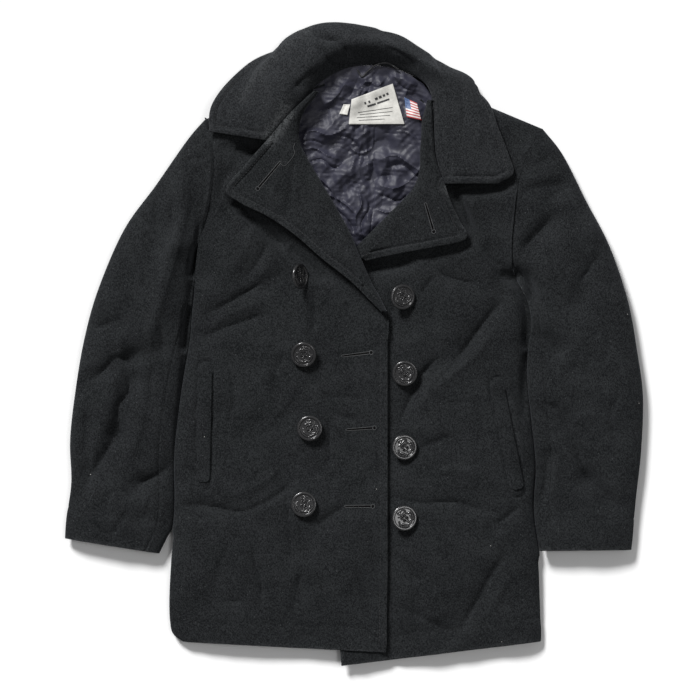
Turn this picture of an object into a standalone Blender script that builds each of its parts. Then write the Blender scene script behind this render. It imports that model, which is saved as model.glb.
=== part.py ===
"""A pea coat of heavy wool, unbuttoned and laid flat on its back.

The coat lies on the floor plane z = 0 with its collar towards +Y. The origin is the bottom centre of
its box. Every panel is a cloth wall between two faces that follow the same grid of points. The panels
lie on each other as cut and sewn: the back on the floor, the lining on it, then the wearer's left front,
the wearer's right front over it, the sleeves beside the body, and the turned lapels and collar on top.
Tables are in millimetres, x to the right and y towards the collar, and the meshes are in metres.
"""

import math

import bpy
import numpy as np
from mathutils import Matrix, Vector
from mathutils.bvhtree import BVHTree

MM = 0.001

# Cloth
CLOTH = 2.3           # thickness of one layer of wool
SATIN = 1.2           # thickness of the lining with its backing
SEAM_GAP = 0.3        # between two pieces at a seam
LAYER_GAP = 0.35      # between two layers that are sewn face to face
OVERLAP_GAP = 1.1     # between the two fronts where they overlap
FLOOR_GAP = 0.2       # least height of the collar's turned edge over the floor

# Heights of outer faces over the floor
CROWN = 24.0          # the fronts where the coat is fullest
HEM_CROWN = 16.0      # the fronts at the hem
HEM_RISE = 130.0      # distance above the hem over which the fronts rise to their crown
SIDE_FOLD = 9.5       # the side and shoulder folds, where front meets back
SIDE_ROLL = 48.0      # distance from a side fold over which the front rounds up to its crown
SHOULDER_ROLL = 36.0
ROUNDNESS = 2.6       # exponent of that rounding
BACK_ROLL = 15.0      # distance over which the back turns up to a side fold

# Rows of each front and each sleeve. The armhole is read at the same shares by all that meet there.
ARMHOLE_STEPS = 8
ARMHOLE_SHARES = (1 - np.cos(np.pi * np.arange(ARMHOLE_STEPS + 1) / ARMHOLE_STEPS)) / 2
UNDER_SHARES = ARMHOLE_SHARES[[0, 1, 2, 4, 6, 7, 8]]
SLEEVE_SEAM = 6       # step of the armhole shares where the front seam of a sleeve starts

# Grids of the other pieces
FRONT_COLUMNS = 15
SLEEVE_RINGS = 15
BACK_COLUMNS = (0.0, 1.5, 5.0, 10.0, 15.0)
BACK_INNER_COLUMNS = 3
COLLAR_COLUMNS = 9
LAPEL_ROWS = 13
FACING_COLUMNS = 5
LINING_ROWS = 13
LINING_COLUMNS = 12
WELT_ROWS = 10

# Places in plan
HEM_Y = -381
HEM_FOLD_DROP = 2.5   # how much lower the side fold is at the hem
OVERLAP_END = 47      # the wearer's left front lies under the right one up to here
OVERLAP_FADE = 50.0
SHOULDER_START = 194
ARMHOLE_BLEND = 55.0
NECK_POINT = 2        # point of each back neck line at which the shoulder ends

# Armhole seam in plan, from the shoulder tip to the armpit: share, x, y
ARMHOLE_WEARERS_RIGHT = (
    (0.00, -185.5, 282.5),
    (0.12, -179.5, 257.5),
    (0.30, -177, 219),
    (0.50, -183, 174),
    (0.70, -192, 136),
    (0.86, -197, 101),
    (1.00, -199.5, 66),
)
ARMHOLE_WEARERS_LEFT = (
    (0.00, 237, 270),
    (0.12, 224.5, 252.5),
    (0.35, 205.5, 201),
    (0.55, 199.5, 156),
    (0.75, 197, 119),
    (0.88, 198.5, 99),
    (1.00, 204, 82),
)

# Sleeve sections: share of the armhole's bow, outer fold x, y, inner fold x, y, crown, fold height
SLEEVE_WEARERS_RIGHT = (
    (1.00, -185.5, 282.5, -199.5, 66, 23.5, 9.5),
    (0.60, -208, 256, -203.5, 41, 26.0, 10.5),
    (0.25, -247, 200, -205.5, 11, 28.0, 11.5),
    (0.05, -287, 144, -210.5, -19, 28.0, 12.0),
    (0.00, -319.5, 69, -215.5, -51, 27.0, 12.0),
    (0.00, -337, 6, -220.5, -87.5, 27.0, 12.0),
    (0.00, -348, -59, -224.5, -122.5, 26.0, 12.0),
    (0.00, -354.5, -119, -225.5, -154, 25.0, 11.5),
    (0.00, -353, -171, -225, -190, 24.0, 11.0),
    (0.00, -358, -210, -229.5, -229, 22.0, 10.5),
    (0.00, -362, -235, -243, -259, 20.0, 10.0),
)
SLEEVE_WEARERS_LEFT = (
    (1.00, 237, 270, 204, 82, 23.5, 9.5),
    (0.65, 262, 237.5, 216, 60, 26.0, 10.5),
    (0.28, 290.5, 181, 227, 25, 28.0, 11.5),
    (0.08, 319.5, 125, 222, 0, 28.0, 12.0),
    (0.00, 343, 56, 219.5, -29, 27.0, 12.0),
    (0.00, 354.5, -6, 220.5, -59, 27.0, 12.0),
    (0.00, 362, -65, 224, -91, 26.0, 12.0),
    (0.00, 359.5, -135, 230, -147.5, 25.0, 11.5),
    (0.00, 353, -194, 227.5, -200, 23.0, 11.0),
    (0.00, 347, -255, 235.5, -254, 20.0, 10.0),
)

# Outline of each front below the armhole: inner edge x, y, outer edge x, y, hem row first
FRONT_WEARERS_RIGHT = (
    (40.5, -382.5, -213, -370),
    (42, -369, -227, -356),
    (42, -334, -230.5, -326),
    (43, -275, -228, -269),
    (43, -212.5, -223, -212.5),
    (43, -150, -224, -144),
    (43, -100, -219.5, -94),
    (43, -50, -213, -47.5),
    (43, 0, -204.5, 0),
    (43, 38, -201, 33),
    (28, 69, -199.5, 66),
)
FRONT_WEARERS_LEFT = (
    (-15.5, -401.5, 234.5, -364),
    (-17, -381, 234, -346),
    (-17, -334, 233, -319),
    (-17, -275, 230.5, -266),
    (-17, -212.5, 223, -212.5),
    (-17, -150, 225.5, -156),
    (-17, -94, 220, -94),
    (-18, -44, 214.5, -41),
    (-19.5, 6, 215.5, 0),
    (-19.5, 50, 218, 48),
    (-19.5, 87.5, 204, 82),
)
# Inner edge of each front above the break, against the armhole share of the same row: share, x, y
ROLL_WEARERS_RIGHT = (
    (1.00, 28, 69),
    (0.96, 20, 84),
    (0.85, 5, 118),
    (0.69, -14, 158),
    (0.50, -34, 193),
    (0.31, -52, 224),
    (0.15, -68, 255),
    (0.04, -65.5, 285),
    (0.00, -40.5, 324),
)
ROLL_WEARERS_LEFT = (
    (1.00, -19.5, 87.5),
    (0.96, -8, 106),
    (0.85, 10, 130),
    (0.69, 33, 153),
    (0.50, 62.5, 180),
    (0.31, 82, 210),
    (0.15, 84.5, 247),
    (0.04, 87, 287),
    (0.00, 92, 329),
)

# Largest folds of the fronts: from x, y, to x, y, half width, height (troughs are negative)
FOLDS = (
    (-182, 37.5, -93, 86, 8, -5.0),
    (-177, 54, -114.5, 91, 9, 3.0),
    (-198, 10, -110.5, 37.5, 8, -4.5),
    (-139.5, 81, -104.5, 131, 9, -5.0),
    (-157, 94, -119.5, 131, 10, 3.0),
    (-79.5, 69, -78, 9, 9, -4.0),
    (-58, 69, -58, 0, 10, 4.0),
    (-44.5, -49, -24.5, -86, 8, -3.5),
    (-27, -89, -33, -162.5, 8, -3.0),
    (-74.5, -77.5, -138, -115, 9, -3.5),
    (-114.5, -50, -95.5, -66, 22, 3.0),
    (-164.5, -211, -110.5, -180, 9, -4.0),
    (-215.5, -202.5, -185.5, -204, 8, -3.0),
    (-93, -157.5, -79.5, -269, 9, -4.0),
    (-44.5, -229, -13, -205, 8, -3.0),
    (-128, -286, -115.5, -326, 8, -3.5),
    (-215.5, -327.5, -142, -320, 8, -2.5),
    (-74.5, -332.5, -64.5, -306, 8, -2.5),
    (188, 59, 135.5, -6, 9, -7.0),
    (135.5, -6, 77, -51, 9, -6.0),
    (77, -51, 53, -99, 8, -4.0),
    (183, 6, 123, -50, 14, 3.0),
    (97, 104, 118, 86, 8, -3.5),
    (118, 86, 164.5, 72.5, 8, -3.5),
    (140.5, 179, 154.5, 125, 9, 4.0),
    (127, 181, 138, 125, 8, -4.0),
    (79.5, -132.5, 115.5, -119, 8, -2.5),
    (50.5, -192.5, 159.5, -201, 9, -3.5),
    (177, -224, 208, -201, 8, -3.5),
    (193, -257.5, 125.5, -360, 9, -3.5),
    (54.5, -260, 79.5, -289, 8, -3.0),
    (43, -322.5, 115.5, -362.5, 9, -2.5),
)
# Folds of the sleeves, in the same columns
SLEEVE_FOLDS = (
    (-339.5, -46, -275.5, -15, 8, -4.0),
    (-275.5, -15, -244.5, -6, 8, -3.5),
    (-327, 21, -294.5, 30, 8, -3.0),
    (-279.5, -44, -294.5, -109, 9, -6.0),
    (-294.5, -109, -334.5, -169, 9, -4.5),
    (-333, -95, -335.5, -156, 8, -3.5),
    (-227, -151, -269.5, -176, 9, -5.0),
    (-247, 181, -243, 136, 10, -3.5),
    (-220.5, 225, -223, 124, 11, 3.0),
    (-223, 124, -247, 29, 11, 3.0),
    (203, 189, 264.5, 204, 9, -4.0),
    (215.5, 124, 248, 156, 9, -5.0),
    (233, 224, 249.5, 237.5, 8, -3.0),
    (242, 181, 264.5, 194, 8, -3.0),
    (279.5, 51, 303, 119, 10, -4.0),
    (298, 149, 302, 119, 9, 3.0),
    (233, 14, 254.5, -7.5, 8, -4.0),
    (252, -80, 292, -167.5, 9, -4.0),
    (292, -167.5, 324.5, -202.5, 9, -5.0),
    (243, -139, 235.5, -189, 9, -5.0),
)

# Collar, one row per section, round from the wearer's right notch to the left one:
# neck seam x, y, z, heading in degrees, then reach from the seam and z of the crest, shoulder, turn, end
COLLAR = (
    (-109.5, 255, 31.0, 171, 10, 32.5, 30, 31.5, 52, 29.5, 72, 28.0),
    (-95.5, 271, 32.5, 160, 14, 35.0, 38, 34.0, 66, 28.5, 87, 24.0),
    (-78, 291, 33.0, 143, 18, 36.5, 42, 32.0, 66, 19.0, 84, 8.5),
    (-59.5, 310, 30.0, 138, 20, 36.0, 42, 30.0, 60, 16.0, 73, 6.0),
    (-39.5, 329, 22.0, 128, 20, 33.0, 44, 30.0, 63, 13.0, 52, 0.5),
    (-13, 344, 11.0, 115, 24, 28.0, 46, 27.0, 59.5, 11.5, 30, 0.2),
    (14.5, 350, 7.0, 91, 26, 25.0, 40, 23.5, 50, 11.0, 14, 0.2),
    (45.5, 347.5, 7.0, 80, 24, 25.0, 36, 23.0, 43.5, 11.0, 12, 0.2),
    (70.5, 339, 10.0, 61, 19, 26.0, 29, 24.0, 36, 11.5, 10, 0.2),
    (89.5, 326, 20.0, 39, 18, 31.0, 28, 27.5, 37, 12.0, 16, 0.2),
    (97, 310, 28.5, 22, 18, 35.5, 38, 29.0, 54, 12.5, 42, 0.5),
    (99.5, 291, 30.5, 11, 18, 36.5, 38, 34.0, 54, 28.0, 66, 21.0),
    (100.5, 267.5, 31.0, 2, 18, 36.5, 42, 35.0, 62, 33.0, 81, 30.0),
    (102, 241, 31.0, -2, 16, 35.5, 44, 34.5, 70, 32.0, 92, 29.5),
    (107, 219, 31.5, -3, 14, 34.5, 42, 34.0, 70, 31.5, 93, 29.5),
    (114.5, 201, 31.5, 0, 10, 33.0, 30, 33.0, 52, 31.5, 66, 29.5),
)

# Lapels, from the break to the notch: roll x, y, edge x, y, lift of the mid width, lift of the edge
LAPEL_WEARERS_RIGHT = (
    (42, 42.5, 33, 42.5, 1.5, 1.5),
    (33, 60, 15.5, 60, 2.0, 2.0),
    (23, 77.5, -4.5, 80, 2.0, 3.0),
    (9.5, 107.5, -39.5, 107.5, 2.5, 5.0),
    (-5.5, 142.5, -72, 136, 3.0, 7.0),
    (-23, 174, -107, 160, 3.0, 8.0),
    (-40.5, 204, -142, 177.5, 3.0, 7.0),
    (-54.5, 227.5, -159.5, 195, 3.0, 5.0),
    (-65, 247.5, -135.5, 225, 4.0, 4.0),
    (-68.5, 262.5, -109.5, 255, 4.0, 4.0),
)
LAPEL_WEARERS_LEFT = (
    (-2, 116, 15.5, 105, 1.2, 1.2),
    (8, 127.5, 38, 110, 1.5, 2.0),
    (23, 142.5, 68, 116, 2.0, 4.0),
    (40.5, 160, 103, 122.5, 2.5, 6.0),
    (58, 177.5, 140.5, 132.5, 3.0, 6.0),
    (73, 194, 132, 156, 3.5, 5.0),
    (80.5, 210, 122, 179, 4.0, 4.0),
    (83, 224, 114.5, 201, 4.0, 4.0),
)
# Roll of each facing beyond the notch: collar section, x, y
FACING_WEARERS_RIGHT = (
    (0.0, -68.5, 262.5),
    (1.0, -66.5, 279),
    (2.0, -60, 294),
    (3.0, -48, 309),
    (3.4, -43, 316),
)
FACING_WEARERS_LEFT = (
    (15.0, 83, 224),
    (14.0, 83, 241),
    (13.0, 84.5, 261),
    (12.0, 85.5, 280),
    (11.0, 89.5, 296),
    (10.3, 92, 306),
)
# Turn of a facing round the roll: share of the crest's distance (over 1: millimetres), depth below the crest
FACING_ROLL = (
    (18.0, 15.3),
    (10.0, 15.1),
    (0.45, 12.6),
    (0.06, 9.2),
    (0.00, 6.2),
    (0.15, 2.9),
    (0.50, 0.8),
    (1.00, 0.0),
)
LAPEL_FIRST_COLUMN = 6  # column and row of the facing at which the lapel's under layer starts
LAPEL_FIRST_ROW = 2
LAPEL_STACK = 5.0      # thickness of a turned lapel, both layers
ROLL_HEIGHT = 9.0      # crest of the lapel's roll over the front
ROLL_SPAN = 8.5        # distance from the roll at which the front and the lapel's under layer stop

# Lining seen in the neck: left x, y, right x, y, height of its face, lowest row first
LINING = (
    (-9.5, 104, 23, 104, 5.5),
    (-29.5, 127.5, 48, 134, 6.5),
    (-49.5, 162.5, 75.5, 171, 8.0),
    (-72, 201, 100.5, 206, 9.0),
    (-87, 237.5, 108, 244, 9.5),
    (-87, 271, 109.5, 279, 9.5),
    (-70, 301, 101, 307, 9.0),
    (-40, 322, 83, 321, 8.0),
)
LINING_TOP = ((-12, 340.5), (14.5, 346), (45.5, 344), (69.5, 335.5))
# Folds of the lining, in the columns of the fronts' folds
LINING_FOLDS = (
    (-67, 256, -4.5, 271, 7, 4.5),
    (-44.5, 244, -10.5, 249, 6, -4.0),
    (-29.5, 225, -2, 216, 7, 4.0),
    (27, 275, 24.5, 162.5, 5, -4.0),
    (-2, 181, 18, 162.5, 6, 3.5),
    (33, 231, 83, 225, 7, 4.0),
    (52, 259, 83, 294, 7, 4.0),
    (38, 200, 55.5, 181, 6, 3.0),
    (-29.5, 306, -10.5, 325, 7, 3.5),
    (-54.5, 284, -29.5, 296, 6, -3.5),
    (58, 271, 39.5, 254, 6, -3.5),
    (10.5, 141, 23, 156, 6, 3.0),
)

# Buttons: radius, thickness and their places: x, y, tilt about y, turn about z, lift
BUTTON_RADIUS = 16.0
BUTTON_RIM = 4.4
BUTTON_FLOOR = 3.0
BUTTON_SHANK = 4.0
BUTTON_STAND = 2.2
BUTTON_SIDES = 16
BUTTONS = (
    (-69, 85, 50, 8, 9.2),
    (-62, -11, 0, 0, 0.3),
    (-54.5, -104, 0, 20, 0),
    (-62, -199, 0, -6, 0),
    (60.5, 60.5, 14, 22, 1.0),
    (64, -35, 0, 52, 0),
    (64, -127.5, 0, 40, 0),
    (64, -216, 0, 50, 0),
)

# Pocket welts: top x, y, bottom x, y
POCKET_WIDTH = 17.0
POCKET_CORNER = 6.0
POCKETS = {
    "wearers_right": ((-184.5, -30), (-188, -171)),
    "wearers_left": ((179.5, -50), (205.5, -180)),
}

# Labels on the lining: corners in plan, lowest left first, counter-clockwise
LABEL_THICKNESS = 0.6
LABEL_LIFT = 0.9
LABELS = {
    "label": (((-5.5, 276), (63, 276)), ((-0.5, 310), (50.5, 325))),
    "size_tag": (((-18, 289), (-7.5, 287.5)), ((-12.5, 301), (-4, 301))),
    "flag_tag": (((67, 285), (85.5, 282.5)), ((67, 307.5), (79.5, 299))),
}

WELT_GAP = 0.5
HANGER_LOOP = ((4.5, 345), (10.5, 336), (18, 342.5), (28, 350), (42, 352.5), (57, 344))
HANGER_POINTS = 21
HANGER_RADIUS = 1.0

# Each half of the coat. The two halves differ as the coat lies
SIDES = (
    {
        "name": "wearers_right",
        "outline": FRONT_WEARERS_RIGHT,
        "armhole": ARMHOLE_WEARERS_RIGHT,
        "roll": ROLL_WEARERS_RIGHT,
        "sleeve": SLEEVE_WEARERS_RIGHT,
        "lapel": LAPEL_WEARERS_RIGHT,
        "strip": FACING_WEARERS_RIGHT,
        "pocket": POCKETS["wearers_right"],
        "neck": (-38, 326),
        "tip": (-185.5, 282.5),
        "neck_line": ((-185.5, 282.5), (-112, 304.5), (-38, 326), (-13, 340), (26, 347.5)),
        "centre_hem": (1.5, -375),
        "break_y": 40,
        "layer": 0.0,
        "own_folds": ((10.5, 96, 12, 96, 32, 4.0),),
        "away": -1,
    },
    {
        "name": "wearers_left",
        "outline": FRONT_WEARERS_LEFT,
        "armhole": ARMHOLE_WEARERS_LEFT,
        "roll": ROLL_WEARERS_LEFT,
        "sleeve": SLEEVE_WEARERS_LEFT,
        "lapel": LAPEL_WEARERS_LEFT,
        "strip": FACING_WEARERS_LEFT,
        "pocket": POCKETS["wearers_left"],
        "neck": (90.5, 331),
        "tip": (237, 270),
        "neck_line": ((237, 270), (164, 300.5), (90.5, 331), (69.5, 337.5), (26.5, 347.5)),
        "centre_hem": (2, -375),
        "break_y": 104,
        "layer": CLOTH + OVERLAP_GAP,
        "own_folds": ((-2, 111, -0.5, 111, 24, -8.0), (36, 36, 12, 72, 14, -4.0)),
        "away": 1,
    },
)

# Base colour, roughness, metallic
WOOL = (0.021, 0.022, 0.024), 0.95, 0.0
WOOL_COLLAR = (0.028, 0.029, 0.031), 0.95, 0.0
SATIN_BLUE = (0.048, 0.048, 0.068), 0.35, 0.0
PLASTIC = (0.012, 0.012, 0.013), 0.30, 0.0
WHITE_SATIN = (0.62, 0.61, 0.58), 0.55, 0.0
CORD = (0.015, 0.015, 0.016), 0.7, 0.0


def smooth(at, low, high):
    """0 below low, 1 above high, and an even S between them."""
    share = np.clip((np.asarray(at, float) - low) / (high - low), 0, 1)
    return share * share * (3 - 2 * share)


def curve(table, at):
    """The columns after the first of a table, read smoothly at values of its first column."""
    table = np.asarray(sorted(table), float)
    keys, rows = table[:, 0], table[:, 1:]
    at = np.atleast_1d(np.asarray(at, float))
    slopes = np.gradient(rows, keys, axis=0)
    i = np.clip(np.searchsorted(keys, at, side="right") - 1, 0, len(keys) - 2)
    step = (keys[i + 1] - keys[i])[:, None]
    s = (at[:, None] - keys[i][:, None]) / step
    before, after = 1 - 3 * s**2 + 2 * s**3, 3 * s**2 - 2 * s**3
    leave, arrive = s - 2 * s**2 + s**3, s**3 - s**2
    return before * rows[i] + after * rows[i + 1] + step * (leave * slopes[i] + arrive * slopes[i + 1])


def numbered(rows):
    """A table with its row numbers as the first column."""
    return [(float(n), *row) for n, row in enumerate(rows)]


def rounding(distance, span):
    """Share of its full height that bent cloth has at a distance from its fold."""
    left = 1 - np.clip(np.asarray(distance, float) / span, 0, 1)
    return (1 - left**ROUNDNESS) ** (1 / ROUNDNESS)


def fold_height(folds, x, y):
    """Sum of a table's folds at points in plan."""
    total = np.zeros(np.shape(x))
    for x0, y0, x1, y1, half_width, height in folds:
        dx, dy = x1 - x0, y1 - y0
        along = np.clip(((x - x0) * dx + (y - y0) * dy) / (dx * dx + dy * dy), 0, 1)
        away = (x - x0 - along * dx) ** 2 + (y - y0 - along * dy) ** 2
        total = total + height * np.exp(-away / (2 * half_width**2))
    return total


def shoulder_distance(x, y, side):
    """Distance in plan from the shoulder line, which runs from the neck point to the shoulder tip."""
    (x0, y0), (x1, y1) = side["neck"], side["tip"]
    length = math.hypot(x1 - x0, y1 - y0)
    return np.abs((x1 - x0) * (y - y0) - (y1 - y0) * (x - x0)) / length


def chest_height(x, y, side):
    """Height of a front's outer face at points in plan, away from its side fold."""
    crown = HEM_CROWN + (CROWN - HEM_CROWN) * smooth(y, HEM_Y, HEM_Y + HEM_RISE)
    crown = crown + fold_height(FOLDS + side["own_folds"], x, y)
    crown = crown - side["layer"] * (1 - smooth(x, OVERLAP_END, OVERLAP_END + OVERLAP_FADE))
    rise = rounding(shoulder_distance(x, y, side), SHOULDER_ROLL)
    above = smooth(y, SHOULDER_START, SHOULDER_START + SHOULDER_ROLL)
    return SIDE_FOLD + (crown - SIDE_FOLD) * (1 - above * (1 - rise))


def unit(vectors):
    """Vectors scaled to length 1."""
    return vectors / np.maximum(np.linalg.norm(vectors, axis=-1, keepdims=True), 1e-6)


def square_to_seam(normals, points, kind):
    """Turns the normals of a grid's edge into its seam, so that both pieces end in the same plane."""
    if kind == "level":
        return unit(normals * (1, 1, 0))
    tangent = np.gradient(points, axis=0) * (1, 1, 0)
    for n in np.flatnonzero(np.linalg.norm(tangent, axis=1) < 0.01):
        tangent[n] = tangent[n - 1]
    across = np.cross(unit(tangent), (0, 0, 1))
    return unit(normals - np.sum(normals * across, axis=1, keepdims=True) * across)


def grid_triangles(rows, columns, start, flip):
    """Triangles of a grid whose first point has the given number."""
    number = start + np.arange(rows * columns).reshape(rows, columns)
    a, b = number[:-1, :-1].ravel(), number[:-1, 1:].ravel()
    c, d = number[1:, 1:].ravel(), number[1:, :-1].ravel()
    triangles = np.concatenate([np.stack([a, b, c], 1), np.stack([a, c, d], 1)])
    return triangles[:, ::-1] if flip else triangles


def draw_in(points, column, distance):
    """Moves the first or last column of a grid towards its neighbour."""
    inward = points[:, 1 if column == 0 else -2] - points[:, column]
    points[:, column] += unit(inward) * distance


def wall(points, near, far, down=False, seams=(), rows=slice(None), columns=slice(None)):
    """Points and triangles of a closed wall that lies from near to far millimetres behind a grid."""
    normals = unit(np.cross(np.gradient(points, axis=1), np.gradient(points, axis=0)))
    flip = (normals[..., 2].sum() > 0) == down
    if flip:
        normals = -normals
    for side, first, last, kind in seams:
        if side == "bottom":
            normals[0] = normals[1]
        whole = slice(None)
        edge = {"start": (whole, 0), "end": (whole, -1), "bottom": (0, whole), "top": (-1, whole)}[side]
        squared = square_to_seam(normals[edge], points[edge], kind)
        normals[edge][first:last] = squared[first:last]
    points, normals = points[rows, columns], normals[rows, columns]
    rows, columns = points.shape[:2]
    outer = (points - near * normals).reshape(-1, 3)
    inner = (points - far * normals).reshape(-1, 3)
    count = rows * columns
    number = np.arange(count).reshape(rows, columns)
    rim = np.concatenate([number[0], number[1:, -1], number[-1, -2::-1], number[-2:0:-1, 0]])
    after = np.roll(rim, -1)
    sides = np.concatenate([
        np.stack([rim, rim + count, after + count], 1),
        np.stack([rim, after + count, after], 1),
    ])
    faces = np.concatenate([
        grid_triangles(rows, columns, 0, flip),
        grid_triangles(rows, columns, count, not flip),
        sides[:, ::-1] if flip else sides,
    ])
    return np.concatenate([outer, inner]), faces


def material(name, look):
    """A Principled material."""
    found = bpy.data.materials.get(name)
    if found:
        return found
    (red, green, blue), roughness, metallic = look
    made = bpy.data.materials.new(name)
    made.use_nodes = True
    shader = made.node_tree.nodes["Principled BSDF"]
    shader.inputs["Base Color"].default_value = (red, green, blue, 1)
    shader.inputs["Roughness"].default_value = roughness
    shader.inputs["Metallic"].default_value = metallic
    return made


def add_object(name, mesh, look, coat):
    """Links a mesh to the coat's collection with a material of its own."""
    mesh.materials.append(material(f"{name}_finish", look))
    made = bpy.data.objects.new(name, mesh)
    coat.objects.link(made)
    return made


def add_cloth(name, shape, look, coat):
    """An object from points in millimetres and triangles, shaded smooth with sharp edges."""
    points, faces = shape
    mesh = bpy.data.meshes.new(name)
    mesh.from_pydata((points * MM).tolist(), [], faces.tolist())
    mesh.shade_smooth()
    mesh.set_sharp_from_angle(angle=math.radians(40))
    return add_object(name, mesh, look, coat)


def surface(points):
    """A tree that finds places on the outer face of a grid."""
    rows, columns = points.shape[:2]
    faces = grid_triangles(rows, columns, 0, False)
    return BVHTree.FromPolygons(points.reshape(-1, 3).tolist(), faces.tolist())


def seat(trees, x, y):
    """Height and upward normal of the highest face under a point in plan."""
    hits = [tree.ray_cast(Vector((x, y, 200)), Vector((0, 0, -1))) for tree in trees]
    hits = [hit for hit in hits if hit[0]] or [tree.find_nearest(Vector((x, y, CROWN))) for tree in trees]
    found = max(hits, key=lambda hit: hit[0].z)
    normal = found[1] if found[1].z > 0 else -found[1]
    return found[0].z, normal


def armhole_height(shares, crown, fold):
    """Height of the upper half of a flattened sleeve at shares of its width."""
    return fold + (crown - fold) * (1 - np.abs(2 * shares - 1) ** 2.8) ** (1 / 2.8)


def side_rows(outline, shares, armhole):
    """Rows of a body panel from its outline and, above the armpit, from the armhole at given shares."""
    below = curve(numbered(outline), np.linspace(0, len(outline) - 1, 2 * len(outline) - 1))
    return below, curve(armhole, shares[::-1][1:])


def side_fold_height(y):
    """Height of the side fold, which is lower at the hem."""
    return SIDE_FOLD - HEM_FOLD_DROP * (1 - smooth(y, HEM_Y, HEM_Y + HEM_RISE))


def split_last(rows):
    """Adds two rows between the last two, closer to the last."""
    added = [rows[-1] + (rows[-2] - rows[-1]) * share for share in (1 / 2, 1 / 6)]
    return np.insert(rows, [-1, -1], added, axis=0)


def front_grid(side):
    """Outer face of a front, hem row first, inner edge to side, and how many rows are below the armhole."""
    below, armhole = side_rows(side["outline"], ARMHOLE_SHARES, side["armhole"])
    shares = ARMHOLE_SHARES[::-1][1:]
    count = len(below)
    rows = np.vstack([below, np.hstack([curve(side["roll"], shares), armhole])])
    rows = split_last(rows)
    inner, outer = rows[:, :2], rows[:, 2:]
    direction = unit(outer - inner)
    tangent = unit(np.gradient(inner, axis=0))
    sine = np.abs(direction[:, 0] * tangent[:, 1] - direction[:, 1] * tangent[:, 0])
    inset = ROLL_SPAN / np.maximum(sine, 0.6) * smooth(inner[:, 1], side["break_y"] - 10, side["break_y"])
    inner = inner + direction * inset[:, None]
    share = np.linspace(0, 1, FRONT_COLUMNS)
    share = share + 0.16 * np.sin(np.pi * share) * (1 + share) / 2
    plan = inner[:, None] + (outer - inner)[:, None] * share[None, :, None]
    x, y = plan[..., 0], plan[..., 1]
    from_side = np.linalg.norm(outer[:, None] - plan, axis=2)
    chest = chest_height(x, y, side)
    fold = side_fold_height(y)
    z = fold + SEAM_GAP / 2 + (chest - fold) * rounding(from_side, SIDE_ROLL)
    near = 1 - smooth(from_side[count:], 0, ARMHOLE_BLEND)
    arm = armhole_height(shares, side["sleeve"][0][5], SIDE_FOLD)
    arm[-1] = SIDE_FOLD + SEAM_GAP / 2
    arm = split_last(arm)
    z[count:] = chest[count:] + near * (arm[:, None] - chest[count:, -1:])
    z[-1] = SIDE_FOLD + SEAM_GAP / 2
    return np.dstack([x, y, z]), count


def floor_rise(shares):
    """Share of the fold's height that the under half of a flattened sleeve has across its width."""
    return np.clip((np.abs(2 * shares - 1) - 0.75) / 0.25, 0, 1) ** 3


def sleeve_rings(side, shares, above):
    """Half of a sleeve as rings from the armhole to the cuff, outer fold to inner fold."""
    table = side["sleeve"]
    rows = curve(numbered(table), np.linspace(0, len(table) - 1, SLEEVE_RINGS))
    bow, outer, inner = rows[:, 0], rows[:, 1:3], rows[:, 3:5]
    seam = curve(side["armhole"], shares)
    ends = np.asarray([seam[0], seam[-1]])
    bowed = seam - ends[0] - (ends[1] - ends[0]) * shares[:, None]
    plan = outer[:, None] + (inner - outer)[:, None] * shares[None, :, None] + bow[:, None, None] * bowed
    crown, fold = rows[:, 5:6], rows[:, 6:7]
    if above:
        z = armhole_height(shares[None], crown, fold)
        ends_fade = np.clip(4 * shares * (1 - shares), 0, 1) ** 0.5
        along = smooth(np.arange(SLEEVE_RINGS), 0, 2)[:, None]
        z = z + along * ends_fade * fold_height(SLEEVE_FOLDS, plan[..., 0], plan[..., 1])
    else:
        z = fold * floor_rise(shares)[None]
    outward = np.gradient(seam, axis=0)
    outward = unit(np.stack([-outward[:, 1], outward[:, 0]], 1))
    plan[0] = plan[0] + outward * side["away"] * SEAM_GAP
    return np.dstack([plan, z])


def back_grid(side):
    """Under face of half of the back, hem row first, side to centre seam, and the rows below the armhole."""
    below, armhole = side_rows(side["outline"], UNDER_SHARES, side["armhole"])
    count = len(below)
    outer = np.vstack([below[:, 2:], armhole])
    neck_line = np.asarray(side["neck_line"], float)
    centre_x, centre_y = side["centre_hem"]
    armpit_share = (below[-1, 3] - centre_y) / (neck_line[-1, 1] - centre_y)
    above = armpit_share + (1 - armpit_share) * (1 - UNDER_SHARES[::-1][1:])
    share = np.concatenate([(below[:, 3] - centre_y) / (neck_line[-1, 1] - centre_y), above])
    share[0] = 0
    centre = np.stack([centre_x + (neck_line[-1, 0] - centre_x) * share,
                       centre_y + (neck_line[-1, 1] - centre_y) * share], 1)
    from_side = np.asarray(BACK_COLUMNS, float)
    length = np.linalg.norm(centre - outer, axis=1, keepdims=True)
    inner = np.linspace(0, 1, BACK_INNER_COLUMNS + 1)[1:]
    distance = np.hstack([np.repeat(from_side[None], len(outer), axis=0),
                          from_side[-1] + (length - from_side[-1]) * inner])
    plan = outer[:, None] + ((centre - outer) / length)[:, None] * distance[:, :, None]
    plan[-1] = curve(numbered(neck_line), np.linspace(0, len(neck_line) - 1, distance.shape[1]))
    turned = (1 - np.clip(distance / BACK_ROLL, 0, 1)) ** 2.4
    z = (side_fold_height(plan[..., 1]) - SEAM_GAP / 2) * turned
    z[count:] = 0
    z[count:, 0] = SIDE_FOLD * floor_rise(UNDER_SHARES[::-1][1:])
    shoulder = int(np.sum(np.linspace(0, len(neck_line) - 1, distance.shape[1]) <= NECK_POINT))
    z[-1, :shoulder] = SIDE_FOLD - SEAM_GAP / 2
    return np.dstack([plan, z]), count, shoulder


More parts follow.
